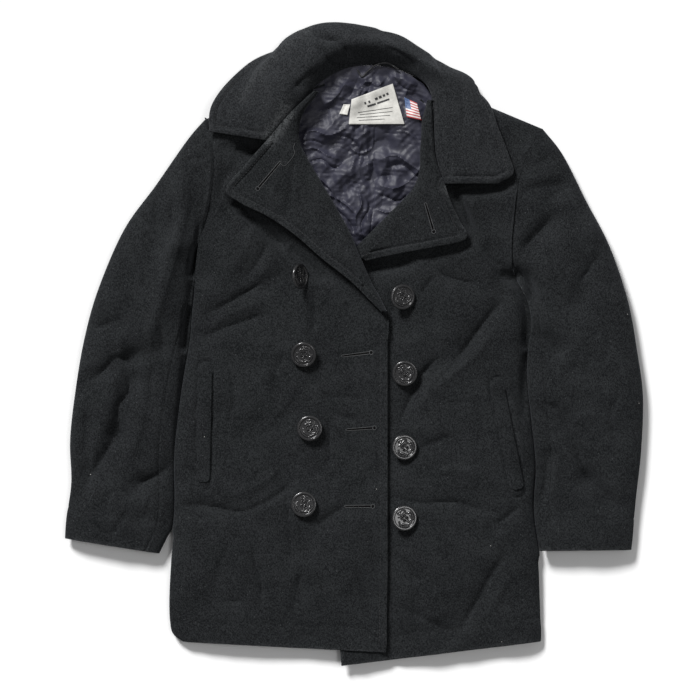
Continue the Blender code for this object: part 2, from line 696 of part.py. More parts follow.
def collar_grid():
    """Outer face of the collar: a row for each section, neck seam to free edge."""
    sections = curve(numbered(COLLAR), np.arange(0, len(COLLAR) - 0.9, 0.5))
    neck, heading = sections[:, :3], np.radians(sections[:, 3])
    reach = np.hstack([np.zeros((len(sections), 1)), sections[:, 4::2]])
    height = np.hstack([neck[:, 2:], sections[:, 5::2]])
    across = np.linspace(0, 4, COLLAR_COLUMNS)
    rows = []
    for start, angle, reaches, heights in zip(neck, heading, reach, height):
        profile = curve(numbered(np.stack([reaches, heights], 1)), across)
        x = start[0] + profile[:, 0] * math.cos(angle)
        y = start[1] + profile[:, 0] * math.sin(angle)
        rows.append(np.stack([x, y, np.maximum(profile[:, 1], FLOOR_GAP)], 1))
    return np.asarray(rows)


def facing_grid(side, collar):
    """Outer face of a facing, break row first, from its return inside the front to its outer edge."""
    lapel, strip = side["lapel"], side["strip"]
    lapel = curve(numbered(lapel), np.linspace(0, len(lapel) - 1, LAPEL_ROWS))
    low, high = sorted((strip[0][0], strip[-1][0]))
    sections = np.arange(low, high + 0.1, 0.5)
    if strip[0][0] > strip[-1][0]:
        sections = sections[::-1]
    roll = np.vstack([lapel[:-1, :2], curve(strip, sections)])
    seam = collar[np.rint(sections * 2).astype(int), 0]
    edge = np.vstack([lapel[:-1, 2:4], seam[:, :2]])
    middle_lift = np.concatenate([lapel[:-1, 4], np.full(len(seam), lapel[-1, 4])])
    edge_lift = np.concatenate([
        lapel[:-1, 5],
        seam[:, 2] - chest_height(seam[:, 0], seam[:, 1], side) - LAPEL_STACK,
    ])
    width = np.linalg.norm(edge - roll, axis=1)
    outward = (edge - roll) / width[:, None]
    top = chest_height(roll[:, 0] + 8 * outward[:, 0], roll[:, 1] + 8 * outward[:, 1], side) + ROLL_HEIGHT
    rows = []
    for n in range(len(roll)):
        crest = min(8.0, 0.55 * width[n])
        row = []
        for share, depth in FACING_ROLL:
            x, y = roll[n] + outward[n] * (share * crest if share <= 1 else share)
            height = top[n] if share <= 1 else chest_height(x, y, side) + ROLL_HEIGHT
            row.append((x, y, height - depth))
        last = width[n] - (SEAM_GAP if n >= len(lapel) - 1 else 0)
        for share in np.linspace(0, 1, FACING_COLUMNS + 1)[1:]:
            x, y = roll[n] + outward[n] * (crest + (last - crest) * share)
            lifts = ((0, ROLL_HEIGHT - LAPEL_STACK), (0.5, middle_lift[n]), (1, edge_lift[n]))
            lift = curve(lifts, share)[0, 0]
            row.append((x, y, chest_height(x, y, side) + LAPEL_STACK + lift))
        rows.append(row)
    return np.asarray(rows), len(lapel) - 1


def lining_grid():
    """Face of the lining in the neck, lowest row first."""
    rows = np.asarray(LINING, float)
    rows = curve(numbered(rows), np.linspace(0, len(rows) - 1, LINING_ROWS))
    share = np.linspace(0, 1, LINING_COLUMNS)
    plan = rows[:, None, :2] + (rows[:, None, 2:4] - rows[:, None, :2]) * share[None, :, None]
    top = curve(numbered(LINING_TOP), np.linspace(0, len(LINING_TOP) - 1, LINING_COLUMNS))
    plan = np.concatenate([plan, top[None]])
    height = np.append(rows[:, 4], rows[-1, 4])[:, None]
    across = np.sin(np.pi * share)[None] ** 0.5
    upward = np.append(smooth(np.arange(LINING_ROWS), 0, 2), 0.3)[:, None]
    z = height + across * upward * fold_height(LINING_FOLDS, plan[..., 0], plan[..., 1])
    return np.dstack([plan, z])


def welt_grid(ends, trees):
    """Outer face of a pocket welt on its front."""
    (x0, y0), (x1, y1) = ends
    length = math.hypot(x1 - x0, y1 - y0)
    along = np.array([(x1 - x0) / length, (y1 - y0) / length])
    across = np.array([-along[1], along[0]])
    rows = []
    steps = np.linspace(POCKET_CORNER, length - POCKET_CORNER, WELT_ROWS)
    for distance in np.concatenate([[0], steps, [length]]):
        from_end = min(distance, length - distance)
        half = POCKET_WIDTH / 2 - (POCKET_CORNER * 0.6 if from_end == 0 else 0)
        row = []
        for offset in np.linspace(-half, half, 4):
            x, y = np.array([x0, y0]) + along * distance + across * offset
            z, normal = seat(trees, x, y)
            row.append((x, y, z + (CLOTH + WELT_GAP) / max(normal.z, 0.6)))
        rows.append(row)
    return np.asarray(rows)


def label_grid(corners, trees):
    """Face of a label on the lining."""
    (low_left, low_right), (top_left, top_right) = np.asarray(corners, float)
    rows = []
    for up in np.linspace(0, 1, 5):
        left, right = low_left + (top_left - low_left) * up, low_right + (top_right - low_right) * up
        row = []
        for share in np.linspace(0, 1, 6):
            x, y = left + (right - left) * share
            row.append((x, y, seat(trees, x, y)[0] + LABEL_LIFT + LABEL_THICKNESS))
        rows.append(row)
    return np.asarray(rows)


def button_mesh():
    """Profile of a button with a sunken face, its thread shank below it."""
    profile = (
        (0, BUTTON_FLOOR),
        (0.74 * BUTTON_RADIUS, BUTTON_FLOOR),
        (0.81 * BUTTON_RADIUS, BUTTON_RIM),
        (0.95 * BUTTON_RADIUS, BUTTON_RIM),
        (BUTTON_RADIUS, 0.6 * BUTTON_RIM),
        (0.8 * BUTTON_RADIUS, 0.3),
        (BUTTON_SHANK, 0),
        (BUTTON_SHANK, -BUTTON_STAND),
        (0, -BUTTON_STAND),
    )
    mesh = bpy.data.meshes.new("button")
    points = [(x * MM, 0, z * MM) for x, z in profile]
    mesh.from_pydata(points, [(n, n + 1) for n in range(len(profile) - 1)], [])
    return mesh


def add_button(number, place, tree, coat):
    """One turned button, seated on its front by its thread shank."""
    x, y, tilt, turn, lift = place
    made = add_object(f"button_{number}", button_mesh(), PLASTIC, coat)
    screw = made.modifiers.new("Turn", "SCREW")
    screw.steps = screw.render_steps = BUTTON_SIDES
    screw.use_merge_vertices = True
    screw.merge_threshold = 0.00001
    screw.use_smooth_shade = False
    height, normal = seat([tree], x, y)
    upright = Vector((0, 0, 1)).rotation_difference(normal).to_matrix()
    tilted = Matrix.Rotation(math.radians(tilt), 3, "Y")
    stand = upright @ tilted @ Matrix.Rotation(math.radians(turn), 3, "Z")
    foot = Vector((x, y, height)) + normal * (SEAM_GAP + lift) + stand @ Vector((0, 0, BUTTON_STAND))
    made.matrix_world = Matrix.Translation(foot * MM) @ stand.to_4x4()
    return made


def add_hanger_loop(trees, coat):
    """The thin cord loop at the back of the neck, sewn down at both ends."""
    line = curve(numbered(HANGER_LOOP), np.linspace(0, len(HANGER_LOOP) - 1, HANGER_POINTS))
    cord = bpy.data.curves.new("hanger_loop", "CURVE")
    cord.dimensions = "3D"
    cord.bevel_depth = HANGER_RADIUS * MM
    cord.bevel_resolution = 1
    cord.use_fill_caps = True
    spline = cord.splines.new("POLY")
    spline.points.add(len(line) - 1)
    for point, (x, y) in zip(spline.points, line):
        z = seat(trees, x, y)[0] + HANGER_RADIUS + 0.9
        point.co = (x * MM, y * MM, z * MM, 1)
    return add_object("hanger_loop", cord, CORD, coat)


def build():
    """Clears the scene and makes the coat."""
    for old in list(bpy.data.objects):
        bpy.data.objects.remove(old, do_unlink=True)
    coat = bpy.data.collections.new("pea_coat")
    bpy.context.scene.collection.children.link(coat)
    collar = collar_grid()
    lining = lining_grid()
    trees = {}
    for side in SIDES:
        name = side["name"]
        front, low_rows = front_grid(side)
        seams = (("end", 0, low_rows, "level"), ("end", low_rows, None, "upright"), ("top", 0, None, "level"))
        add_cloth(f"front_{name}", wall(front, 0, CLOTH, seams=seams), WOOL, coat)
        trees[name] = surface(front)

        back, low_rows, shoulder = back_grid(side)
        seams = (
            ("start", 0, low_rows, "level"),
            ("start", low_rows, None, "upright"),
            ("top", 0, shoulder + 1, "level"),
        )
        draw_in(back, -1, SEAM_GAP / 2)
        add_cloth(f"back_{name}", wall(back, 0, CLOTH, down=True, seams=seams), WOOL, coat)

        upper = sleeve_rings(side, ARMHOLE_SHARES, True)
        under = sleeve_rings(side, UNDER_SHARES, False)
        top_sleeve = np.concatenate([upper[:, SLEEVE_SEAM::-1], under[:, 1:3]], axis=1)
        under_sleeve = np.concatenate([under[:, 2:], upper[:, -2:SLEEVE_SEAM - 1:-1]], axis=1)
        draw_in(under_sleeve, 0, SEAM_GAP)
        draw_in(under_sleeve, -1, SEAM_GAP)
        ends = (("bottom", 0, None, "upright"), ("start", 0, None, "upright"), ("end", 0, None, "upright"))
        add_cloth(f"sleeve_top_{name}", wall(top_sleeve, 0, CLOTH, seams=ends), WOOL, coat)
        add_cloth(f"sleeve_under_{name}", wall(under_sleeve, 0, CLOTH, down=True, seams=ends), WOOL, coat)

        facing, free_rows = facing_grid(side, collar)
        seams = (("end", free_rows, None, "upright"),)
        add_cloth(f"facing_{name}", wall(facing, 0, CLOTH, seams=seams), WOOL, coat)
        depth = CLOTH + LAYER_GAP
        turned = wall(facing, depth, depth + CLOTH, seams=seams, rows=slice(LAPEL_FIRST_ROW, None),
                      columns=slice(LAPEL_FIRST_COLUMN, None))
        add_cloth(f"lapel_{name}", turned, WOOL, coat)
        add_cloth(f"pocket_welt_{name}", wall(welt_grid(side["pocket"], [trees[name]]), 0, CLOTH), WOOL, coat)

    seams = (("start", 0, None, "upright"),)
    add_cloth("collar_upper", wall(collar, 0, CLOTH, seams=seams), WOOL_COLLAR, coat)
    depth = CLOTH + LAYER_GAP
    add_cloth("collar_under", wall(collar, depth, depth + CLOTH, seams=seams), WOOL_COLLAR, coat)
    add_cloth("lining_back", wall(lining, 0, SATIN), SATIN_BLUE, coat)
    neck = [surface(lining), surface(collar)]
    for name, corners in LABELS.items():
        add_cloth(name, wall(label_grid(corners, neck[:1]), 0, LABEL_THICKNESS), WHITE_SATIN, coat)
    add_hanger_loop(neck, coat)
    for number, place in enumerate(BUTTONS):
        owner = "wearers_right" if number < len(BUTTONS) // 2 else "wearers_left"
        add_button(number + 1, place, trees[owner], coat)


build()
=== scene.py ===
import math

import bpy
import numpy as np
from mathutils import Matrix, Vector
from mathutils.bvhtree import BVHTree


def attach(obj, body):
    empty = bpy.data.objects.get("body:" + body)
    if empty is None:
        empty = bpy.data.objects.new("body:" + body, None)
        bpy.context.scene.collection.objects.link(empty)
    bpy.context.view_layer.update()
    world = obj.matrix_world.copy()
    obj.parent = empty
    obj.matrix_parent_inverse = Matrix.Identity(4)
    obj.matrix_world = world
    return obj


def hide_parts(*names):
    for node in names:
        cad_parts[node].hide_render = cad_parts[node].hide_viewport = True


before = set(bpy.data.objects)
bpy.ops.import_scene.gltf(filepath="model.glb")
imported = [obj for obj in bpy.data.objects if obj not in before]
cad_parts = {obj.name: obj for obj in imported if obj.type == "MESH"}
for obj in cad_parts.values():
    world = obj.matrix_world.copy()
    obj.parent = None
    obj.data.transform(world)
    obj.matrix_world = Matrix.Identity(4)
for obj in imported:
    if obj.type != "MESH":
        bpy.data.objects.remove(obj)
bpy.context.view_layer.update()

# A pea coat laid flat. Every panel is rebuilt as a thin cloth wall on the form of its solid, from the same
# tables in millimetres, with the creases, stitching and wear added.

MM = 0.001

# Cloth
CLOTH = 2.3            # thickness of one layer of wool
SATIN = 1.2            # thickness of the lining with its backing
WELT_THICKNESS = 1.5
SEAM_GAP = 0.3         # between two pieces at a seam
LAYER_GAP = 0.35       # between two layers that are sewn face to face
OVERLAP_GAP = 1.1      # between the two fronts where they overlap
FLOOR_GAP = 0.2        # least height of the collar's turned edge over the floor
FOLD_GAP = 0.1         # between a side fold and the sleeve beside it

# Heights of outer faces over the floor
CROWN = 24.0           # the fronts where the coat is fullest
HEM_CROWN = 16.0       # the fronts at the hem
HEM_RISE = 130.0       # distance above the hem over which the fronts rise to their crown
SIDE_FOLD = 9.5        # the side and shoulder folds, where front meets back
HEM_FOLD_DROP = 2.5    # how much lower the side fold is at the hem
SIDE_ROLL = 48.0       # distance from a side fold over which the front rounds up to its crown
SHOULDER_ROLL = 36.0
ROUNDNESS = 2.6        # exponent of that rounding
ARM_FULLNESS = 2.3     # and of a sleeve's
SLEEVE_LIFT = 2.0      # of a sleeve past the armhole, over the crown in its table
SLEEVE_FOLD_DEPTH = 1.5  # times the heights in the table of its folds
BACK_ROLL = 15.0       # distance over which the back turns up to a side fold
FRONT_LOWEST = 5.5     # least heights of the cloth in a hollow
SLEEVE_LOWEST = 4.0
LINING_LOWEST = 2.6
LINING_DROP = 6.5      # most that a fold of the lining sinks

# Places in plan
HEM_Y = -381
OVERLAP_END = 47       # the wearer's left front lies under the right one up to here
OVERLAP_FADE = 50.0
SHOULDER_START = 194
ARMHOLE_BLEND = 55.0
NECK_POINT = 2         # point of each back neck line at which the shoulder ends
FOLD_MOVE = 6.0        # most that a side fold and a sleeve's fold each move to meet
FOLD_APART = (11, 17)  # distances between them over which they stop to
GAP_FADE = 14          # and distance below the end of their gap

# Grids
STEP = 2.65            # spacing of the points of a visible panel
UNDER_STEP = 4.0       # and along the under sleeve
BACK_STEP = 7.0        # up the back
LAPEL_STEP = 2.4       # along a lapel's edge
FINE_STEP = 1.9        # across a facing and along a welt
FACING_WIDTH = 60.0    # width for which a facing's columns are spaced
TURNED_COLUMNS = (22, 36)  # columns of a facing over which it gets its detail, round the roll
EDGE_STEPS = (0.0, 0.12, 0.38, 0.75, 1.2, 1.8, 2.6)  # distances of the first points from an edge
BACK_STEPS = (0.0, 0.4, 1.0, 1.8, 3.0, 4.5, 6.2, 8.0, 10.0, 12.5, 15.0)  # and of the back's from its side
COLLAR_END_STEPS = (0.0, 0.004, 0.013, 0.026, 0.042, 0.065, 0.1)  # first sections of the collar
COLLAR_EDGE_STEPS = (0.12, 0.4, 0.75, 1.2, 1.8)
LINING_TOP_ROWS = 13   # rows of the lining above the last one of its table
FAR = 99               # a distance beyond the reach of any seam
OVERHEAD = 200         # a height over the whole coat

# Stitching, hems and creases
SEAM_ROUND = 0.5       # how far an outer face rounds down into a seam
STITCH_DISTANCE = 9.5  # of the topstitching from a front's free edge
LAPEL_STITCH = 8.0     # and from a lapel's or the collar's
STITCH_GROOVE = 1.5    # width of the groove in which it lies
STITCH_LENGTH = 3.0
STITCH_PITCH = 4.1
STITCH_RADIUS = 0.28
STITCH_LIFT = 0.12
STITCH_SIDES = 6
# Form of a stitch: share of its length, share of its radius, height in radii
STITCH_FORM = (
    (-0.5, 0.15, -2.2), (-0.46, 0.75, -1.0), (-0.3, 1.0, 0.0), (0.3, 1.0, 0.0), (0.46, 0.75, -1.0),
    (0.5, 0.15, -2.2),
)
EDGE_REACH = 40        # distance over which a front's edge has its relief
PAST_BREAK = 60        # added to that distance above the break, where the edge runs on under the lapel
HEM_TURN = 30.0        # depth of the turned hem
CUFF_TURN = 40.0
CREASE_DEPTH = 1.5     # times the depths in the tables of creases
COLLAR_CREASE_DEPTH = 1.6
LINING_CREASE_DEPTH = 1.3
CREASED_SHARE = 0.45   # share of the fronts' folds that their creases replace
CREASE_WIDTH = 0.8     # times their half widths
CREASE_BLUNTNESS = 0.3  # radius of a crease's bottom and run of its flanks, in widths
CREASE_FLANK = 0.85
# Fronts under the lapels: distances inside their outline over which detail fades, the share of the troughs
# that is left, and how much the cloth sinks
COVERED_FADE = (-7, 3)
COVERED_SHARE = 0.2
COVERED_DROP = 0.5
# Stitched edges: depth of the groove, height of the rim, distance of the groove
HEM_EDGE = (0.6, 0.7, HEM_TURN)
CUFF_EDGE = (0.45, 0.4, CUFF_TURN)
LAPEL_EDGE = (1.15, 1.15)
COLLAR_EDGE = (1.2, 1.15)
# Grooves: depth, width, distance from the edge
FRONT_SEAM = (0.3, 1.8)
SLEEVE_SEAM = (0.3, 1.6)
COLLAR_SEAM = (0.8, 2.0)
WELT_GROOVE = (0.4, 0.7, 2.6)
POCKET_GROOVE = (2.4, 1.7, 1.6)
LAPEL_GROOVE = (2.0, 7, 7)
OVERLAP_GROOVE = (2.6, 7, 1)
LABEL_BORDER = (-0.25, 0.7, 1.0)  # a ridge
# Waves: height, wavelength, seed
FRONT_WAVES = ((1.9, 66, 3), (1.0, 29, 5), (0.32, 11, 7))
FRONT_RIDGES = (0.9, 45, 11)
SLEEVE_WAVES = ((1.7, 50, 23), (0.9, 22, 29), (0.3, 10, 31))
SLEEVE_RIDGES = (0.9, 36, 37)
FACING_WAVES = ((0.9, 40, 67), (0.4, 16, 71))
COLLAR_WAVES = ((1.2, 46, 73), (0.5, 18, 79))
LABEL_WAVES = ((0.3, 14, 61),)
LINING_FACETS = ((2.8, 34, 47), (1.5, 15, 53))
# Pleats of the lining: height, length, turn, seed
LINING_PLEATS = (
    (2.6, 41, 0.45, 91), (2.4, 33, 2.0, 93), (2.0, 23, 2.75, 97), (1.5, 17, 1.25, 99), (1.0, 11, 0.1, 103),
    (0.6, 7.5, 2.3, 107), (0.45, 6.0, 1.5, 109),
)

# Armhole seam in plan, from the shoulder tip to the armpit: share, x, y
ARMHOLE_WEARERS_RIGHT = (
    (0.00, -185.5, 282.5),
    (0.12, -179.5, 257.5),
    (0.30, -177, 219),
    (0.50, -183, 174),
    (0.70, -192, 136),
    (0.86, -197, 101),
    (1.00, -199.5, 66),
)
ARMHOLE_WEARERS_LEFT = (
    (0.00, 237, 270),
    (0.12, 224.5, 252.5),
    (0.35, 205.5, 201),
    (0.55, 199.5, 156),
    (0.75, 197, 119),
    (0.88, 198.5, 99),
    (1.00, 204, 82),
)

# Sleeve sections: share of the armhole's bow, outer fold x, y, inner fold x, y, crown, fold height
SLEEVE_WEARERS_RIGHT = (
    (1.00, -185.5, 282.5, -199.5, 66, 23.5, 9.5),
    (0.60, -208, 256, -203.5, 41, 26.0, 10.5),
    (0.25, -247, 200, -205.5, 11, 28.0, 11.5),
    (0.05, -287, 144, -210.5, -19, 28.0, 12.0),
    (0.00, -319.5, 69, -215.5, -51, 27.0, 12.0),
    (0.00, -337, 6, -220.5, -87.5, 27.0, 12.0),
    (0.00, -348, -59, -224.5, -122.5, 26.0, 12.0),
    (0.00, -354.5, -119, -225.5, -154, 25.0, 11.5),
    (0.00, -353, -171, -225, -190, 24.0, 11.0),
    (0.00, -358.5, -213, -229.5, -230, 22.0, 10.5),
    (0.00, -361, -242, -243, -261, 20.0, 10.0),
)
SLEEVE_WEARERS_LEFT = (
    (1.00, 237, 270, 204, 82, 23.5, 9.5),
    (0.65, 262, 237.5, 216, 60, 26.0, 10.5),
    (0.28, 290.5, 181, 227, 25, 28.0, 11.5),
    (0.08, 319.5, 125, 222, 0, 28.0, 12.0),
    (0.00, 343, 56, 219.5, -29, 27.0, 12.0),
    (0.00, 354.5, -6, 220.5, -59, 27.0, 12.0),
    (0.00, 362, -65, 224, -91, 26.0, 12.0),
    (0.00, 359.5, -135, 230, -147.5, 25.0, 11.5),
    (0.00, 353, -194, 227.5, -200, 23.0, 11.0),
    (0.00, 347.5, -256.5, 235.5, -257, 20.0, 10.0),
)

# Outline of each front below the armhole: inner edge x, y, outer edge x, y, hem row first
FRONT_WEARERS_RIGHT = (
    (40.5, -384.5, -213, -371.5),
    (42, -371, -227, -357.5),
    (42, -334, -230.5, -326),
    (43, -275, -228, -269),
    (43, -212.5, -223, -212.5),
    (43, -150, -224, -144),
    (43, -100, -219.5, -94),
    (43, -50, -213, -47.5),
    (43, 0, -204.5, 0),
    (43, 38, -201, 33),
    (28, 69, -199.5, 66),
)
FRONT_WEARERS_LEFT = (
    (-15.5, -401.5, 234.5, -371),
    (-17, -381, 234, -352),
    (-17, -334, 233, -319),
    (-17, -275, 230.5, -266),
    (-17, -212.5, 223, -212.5),
    (-17, -150, 225.5, -156),
    (-17, -94, 220, -94),
    (-18, -44, 214.5, -41),
    (-19.5, 6, 215.5, 0),
    (-19.5, 50, 218, 48),
    (-19.5, 87.5, 204, 82),
)
# Inner edge of each front above the break, against the armhole share of the same row: share, x, y
ROLL_WEARERS_RIGHT = (
    (1.00, 28, 69),
    (0.96, 20, 84),
    (0.85, 5, 118),
    (0.69, -14, 158),
    (0.50, -34, 193),
    (0.31, -52, 224),
    (0.15, -68, 255),
    (0.04, -65.5, 285),
    (0.00, -40.5, 324),
)
ROLL_WEARERS_LEFT = (
    (1.00, -19.5, 87.5),
    (0.96, -8, 106),
    (0.85, 10, 130),
    (0.69, 33, 153),
    (0.50, 62.5, 180),
    (0.31, 82, 210),
    (0.15, 84.5, 247),
    (0.04, 87, 287),
    (0.00, 92, 329),
)

# Largest folds of the fronts: from x, y, to x, y, half width, height (troughs are negative)
FOLDS = (
    (-182, 37.5, -93, 86, 8, -5.0),
    (-177, 54, -114.5, 91, 9, 3.0),
    (-198, 10, -110.5, 37.5, 8, -4.5),
    (-139.5, 81, -104.5, 131, 9, -5.0),
    (-157, 94, -119.5, 131, 10, 3.0),
    (-79.5, 69, -78, 9, 9, -4.0),
    (-58, 69, -58, 0, 10, 4.0),
    (-44.5, -49, -24.5, -86, 8, -3.5),
    (-27, -89, -33, -162.5, 8, -3.0),
    (-74.5, -77.5, -138, -115, 9, -3.5),
    (-114.5, -50, -95.5, -66, 22, 3.0),
    (-164.5, -211, -110.5, -180, 9, -4.0),
    (-215.5, -202.5, -185.5, -204, 8, -3.0),
    (-93, -157.5, -79.5, -269, 9, -4.0),
    (-44.5, -229, -13, -205, 8, -3.0),
    (-128, -286, -115.5, -326, 8, -3.5),
    (-215.5, -327.5, -142, -320, 8, -2.5),
    (-74.5, -332.5, -64.5, -306, 8, -2.5),
    (188, 59, 135.5, -6, 9, -7.0),
    (135.5, -6, 77, -51, 9, -6.0),
    (77, -51, 53, -99, 8, -4.0),
    (183, 6, 123, -50, 14, 3.0),
    (97, 104, 118, 86, 8, -3.5),
    (118, 86, 164.5, 72.5, 8, -3.5),
    (140.5, 179, 154.5, 125, 9, 4.0),
    (127, 181, 138, 125, 8, -4.0),
    (79.5, -132.5, 115.5, -119, 8, -2.5),
    (50.5, -192.5, 159.5, -201, 9, -3.5),
    (177, -224, 208, -201, 8, -3.5),
    (193, -257.5, 125.5, -360, 9, -3.5),
    (54.5, -260, 79.5, -289, 8, -3.0),
    (43, -322.5, 115.5, -362.5, 9, -2.5),
)
# Folds of the sleeves, in the same columns
SLEEVE_FOLDS = (
    (-339.5, -46, -275.5, -15, 8, -4.0),
    (-275.5, -15, -244.5, -6, 8, -3.5),
    (-327, 21, -294.5, 30, 8, -3.0),
    (-279.5, -44, -294.5, -109, 9, -6.0),
    (-294.5, -109, -334.5, -169, 9, -4.5),
    (-333, -95, -335.5, -156, 8, -3.5),
    (-227, -151, -269.5, -176, 9, -5.0),
    (-247, 181, -243, 136, 10, -3.5),
    (-220.5, 225, -223, 124, 11, 3.0),
    (-223, 124, -247, 29, 11, 3.0),
    (203, 189, 264.5, 204, 9, -4.0),
    (215.5, 124, 248, 156, 9, -5.0),
    (233, 224, 249.5, 237.5, 8, -3.0),
    (242, 181, 264.5, 194, 8, -3.0),
    (279.5, 51, 303, 119, 10, -4.0),
    (298, 149, 302, 119, 9, 3.0),
    (233, 14, 254.5, -7.5, 8, -4.0),
    (252, -80, 292, -167.5, 9, -4.0),
    (292, -167.5, 324.5, -202.5, 9, -5.0),
    (243, -139, 235.5, -189, 9, -5.0),
)

# Collar, one row per section, round from the wearer's right notch to the left one:
# neck seam x, y, z, heading in degrees, then reach from the seam and z of the crest, shoulder, turn, end
COLLAR = (
    (-109.5, 255, 31.0, 171, 10, 32.5, 30, 31.5, 52, 29.5, 72, 28.0),
    (-95.5, 271, 32.5, 160, 14, 35.0, 38, 34.0, 66, 28.5, 87, 24.0),
    (-78, 291, 33.0, 143, 18, 38.0, 42, 32.0, 66, 19.0, 84, 8.5),
    (-59.5, 310, 28.0, 138, 20, 39.0, 44, 31.0, 63, 16.0, 77, 6.0),
    (-39.5, 329, 18.0, 128, 21, 38.0, 47, 32.0, 70, 13.0, 56, 0.5),
    (-13, 344, 9.0, 115, 25, 34.5, 48, 29.0, 63, 11.5, 30, 0.2),
    (14.5, 350, 6.0, 91, 25, 32.0, 39, 25.5, 48, 11.0, 14, 0.2),
    (45.5, 347.5, 6.0, 80, 22, 31.5, 35, 24.5, 41.5, 11.0, 12, 0.2),
    (70.5, 339, 8.0, 61, 18, 32.0, 28, 25.5, 34, 11.5, 10, 0.2),
    (89.5, 326, 16.0, 39, 18, 35.0, 28, 29.5, 37, 12.0, 16, 0.2),
    (97, 310, 28.5, 22, 18, 35.5, 39, 29.0, 57, 12.5, 44, 0.5),
    (99.5, 291, 30.5, 11, 18, 36.5, 40, 34.0, 57, 28.0, 70, 21.0),
    (100.5, 267.5, 31.0, 2, 18, 36.5, 42, 35.0, 62, 33.0, 81, 30.0),
    (102, 241, 31.0, -2, 16, 35.5, 44, 34.5, 70, 32.0, 92, 29.5),
    (107, 219, 31.5, -3, 14, 34.5, 42, 34.0, 70, 31.5, 93, 29.5),
    (114.5, 201, 31.5, 0, 10, 33.0, 30, 33.0, 52, 31.5, 66, 29.5),
)

# Lapels, from the break to the notch: roll x, y, edge x, y, lift of the mid width, lift of the edge
LAPEL_WEARERS_RIGHT = (
    (42, 42.5, 33, 42.5, 1.5, 1.5),
    (33, 60, 15.5, 60, 2.0, 2.0),
    (23, 77.5, -4.5, 80, 2.0, 3.0),
    (9.5, 107.5, -39.5, 107.5, 2.5, 5.0),
    (-5.5, 142.5, -72, 136, 3.0, 7.0),
    (-23, 174, -107, 160, 3.0, 8.0),
    (-40.5, 204, -142, 177.5, 3.0, 7.0),
    (-54.5, 227.5, -159.5, 195, 3.0, 5.0),
    (-65, 247.5, -135.5, 225, 4.0, 4.0),
    (-68.5, 262.5, -109.5, 255, 4.0, 4.0),
)
LAPEL_WEARERS_LEFT = (
    (-2, 116, 15.5, 105, 1.2, 1.2),
    (8, 127.5, 38, 110, 1.5, 2.0),
    (23, 142.5, 68, 116, 2.0, 3.6),
    (40.5, 160, 103, 122.5, 2.5, 4.2),
    (58, 177.5, 140.5, 132.5, 3.0, 4.0),
    (73, 194, 132, 156, 3.5, 4.5),
    (80.5, 210, 122, 179, 4.0, 4.0),
    (83, 224, 114.5, 201, 4.0, 4.0),
)
# Roll of each facing beyond the notch: collar section, x, y
FACING_WEARERS_RIGHT = (
    (0.0, -68.5, 262.5),
    (1.0, -66.5, 279),
    (2.0, -60, 294),
    (3.0, -48, 309),
    (3.4, -43, 316),
)
FACING_WEARERS_LEFT = (
    (15.0, 83, 224),
    (14.0, 83, 241),
    (13.0, 84.5, 261),
    (12.0, 85.5, 280),
    (11.0, 89.5, 296),
    (10.3, 92, 306),
)
# Turn of a facing round the roll: share of the crest's distance (over 1: millimetres), depth below the crest
FACING_ROLL = (
    (18.0, 15.3),
    (10.0, 15.1),
    (0.30, 12.8),
    (0.04, 10.4),
    (0.00, 7.8),
    (0.12, 4.9),
    (0.34, 2.2),
    (0.64, 0.6),
    (1.00, 0.0),
)
LAPEL_FIRST_SHARE = 0.25  # share of the facing's free rows, and its column, at which the under layer starts
LAPEL_FIRST_COLUMN = 25
LAPEL_STACK = 5.0      # thickness of a turned lapel, both layers
ROLL_HEIGHT = 9.0      # crest of the lapel's roll over the front
CREST_DISTANCE = 16.0  # of the crest from the roll, but at most this share of the facing's width
CREST_SHARE = 0.55
ROLL_SPAN = 8.5        # distance from the roll at which the front and the lapel's under layer stop

# Lining seen in the neck: left x, y, right x, y, height of its face, lowest row first
LINING = (
    (-9.5, 104, 23, 104, 5.5),
    (-29.5, 127.5, 48, 134, 6.5),
    (-49.5, 162.5, 75.5, 171, 8.0),
    (-72, 201, 100.5, 206, 9.0),
    (-87, 237.5, 108, 244, 9.5),
    (-87, 271, 109.5, 279, 9.5),
    (-70, 301, 99, 307, 8.5),
    (-42.5, 329.5, 88, 325, 6.5),
)
LINING_TOP = ((-15.5, 345.8), (14.5, 350.0), (45.5, 347.5), (70, 338.9))
# Folds of the lining, in the columns of the fronts' folds
LINING_FOLDS = (
    (-67, 256, -4.5, 271, 7, 4.5),
    (-44.5, 244, -10.5, 249, 6, -4.0),
    (-29.5, 225, -2, 216, 7, 4.0),
    (27, 275, 24.5, 162.5, 5, -4.0),
    (-2, 181, 18, 162.5, 6, 3.5),
    (33, 231, 83, 225, 7, 4.0),
    (52, 259, 83, 294, 7, 4.0),
    (38, 200, 55.5, 181, 6, 3.0),
    (-29.5, 306, -10.5, 325, 7, 3.5),
    (-54.5, 284, -29.5, 296, 6, -3.5),
    (58, 271, 39.5, 254, 6, -3.5),
    (10.5, 141, 23, 156, 6, 3.0),
)

# Buttons
BUTTON_RADIUS = 16.0
BUTTON_RIM = 4.4
BUTTON_FLOOR = 3.0
BUTTON_SHANK = 4.0
BUTTON_STAND = 2.2
BUTTON_HOLE = 2.2      # distance of the four holes from the middle, both ways
BUTTON_SIDES = 112
# Rings of the underside: radius, height
BUTTON_BELOW = (
    (BUTTON_RADIUS, 2.288), (15.9, 1.584), (15.3, 0.968), (12.8, 0.3), (BUTTON_SHANK, 0.0), (2.8, -1.1),
    (3.0, -BUTTON_STAND), (0.05, -BUTTON_STAND),
)
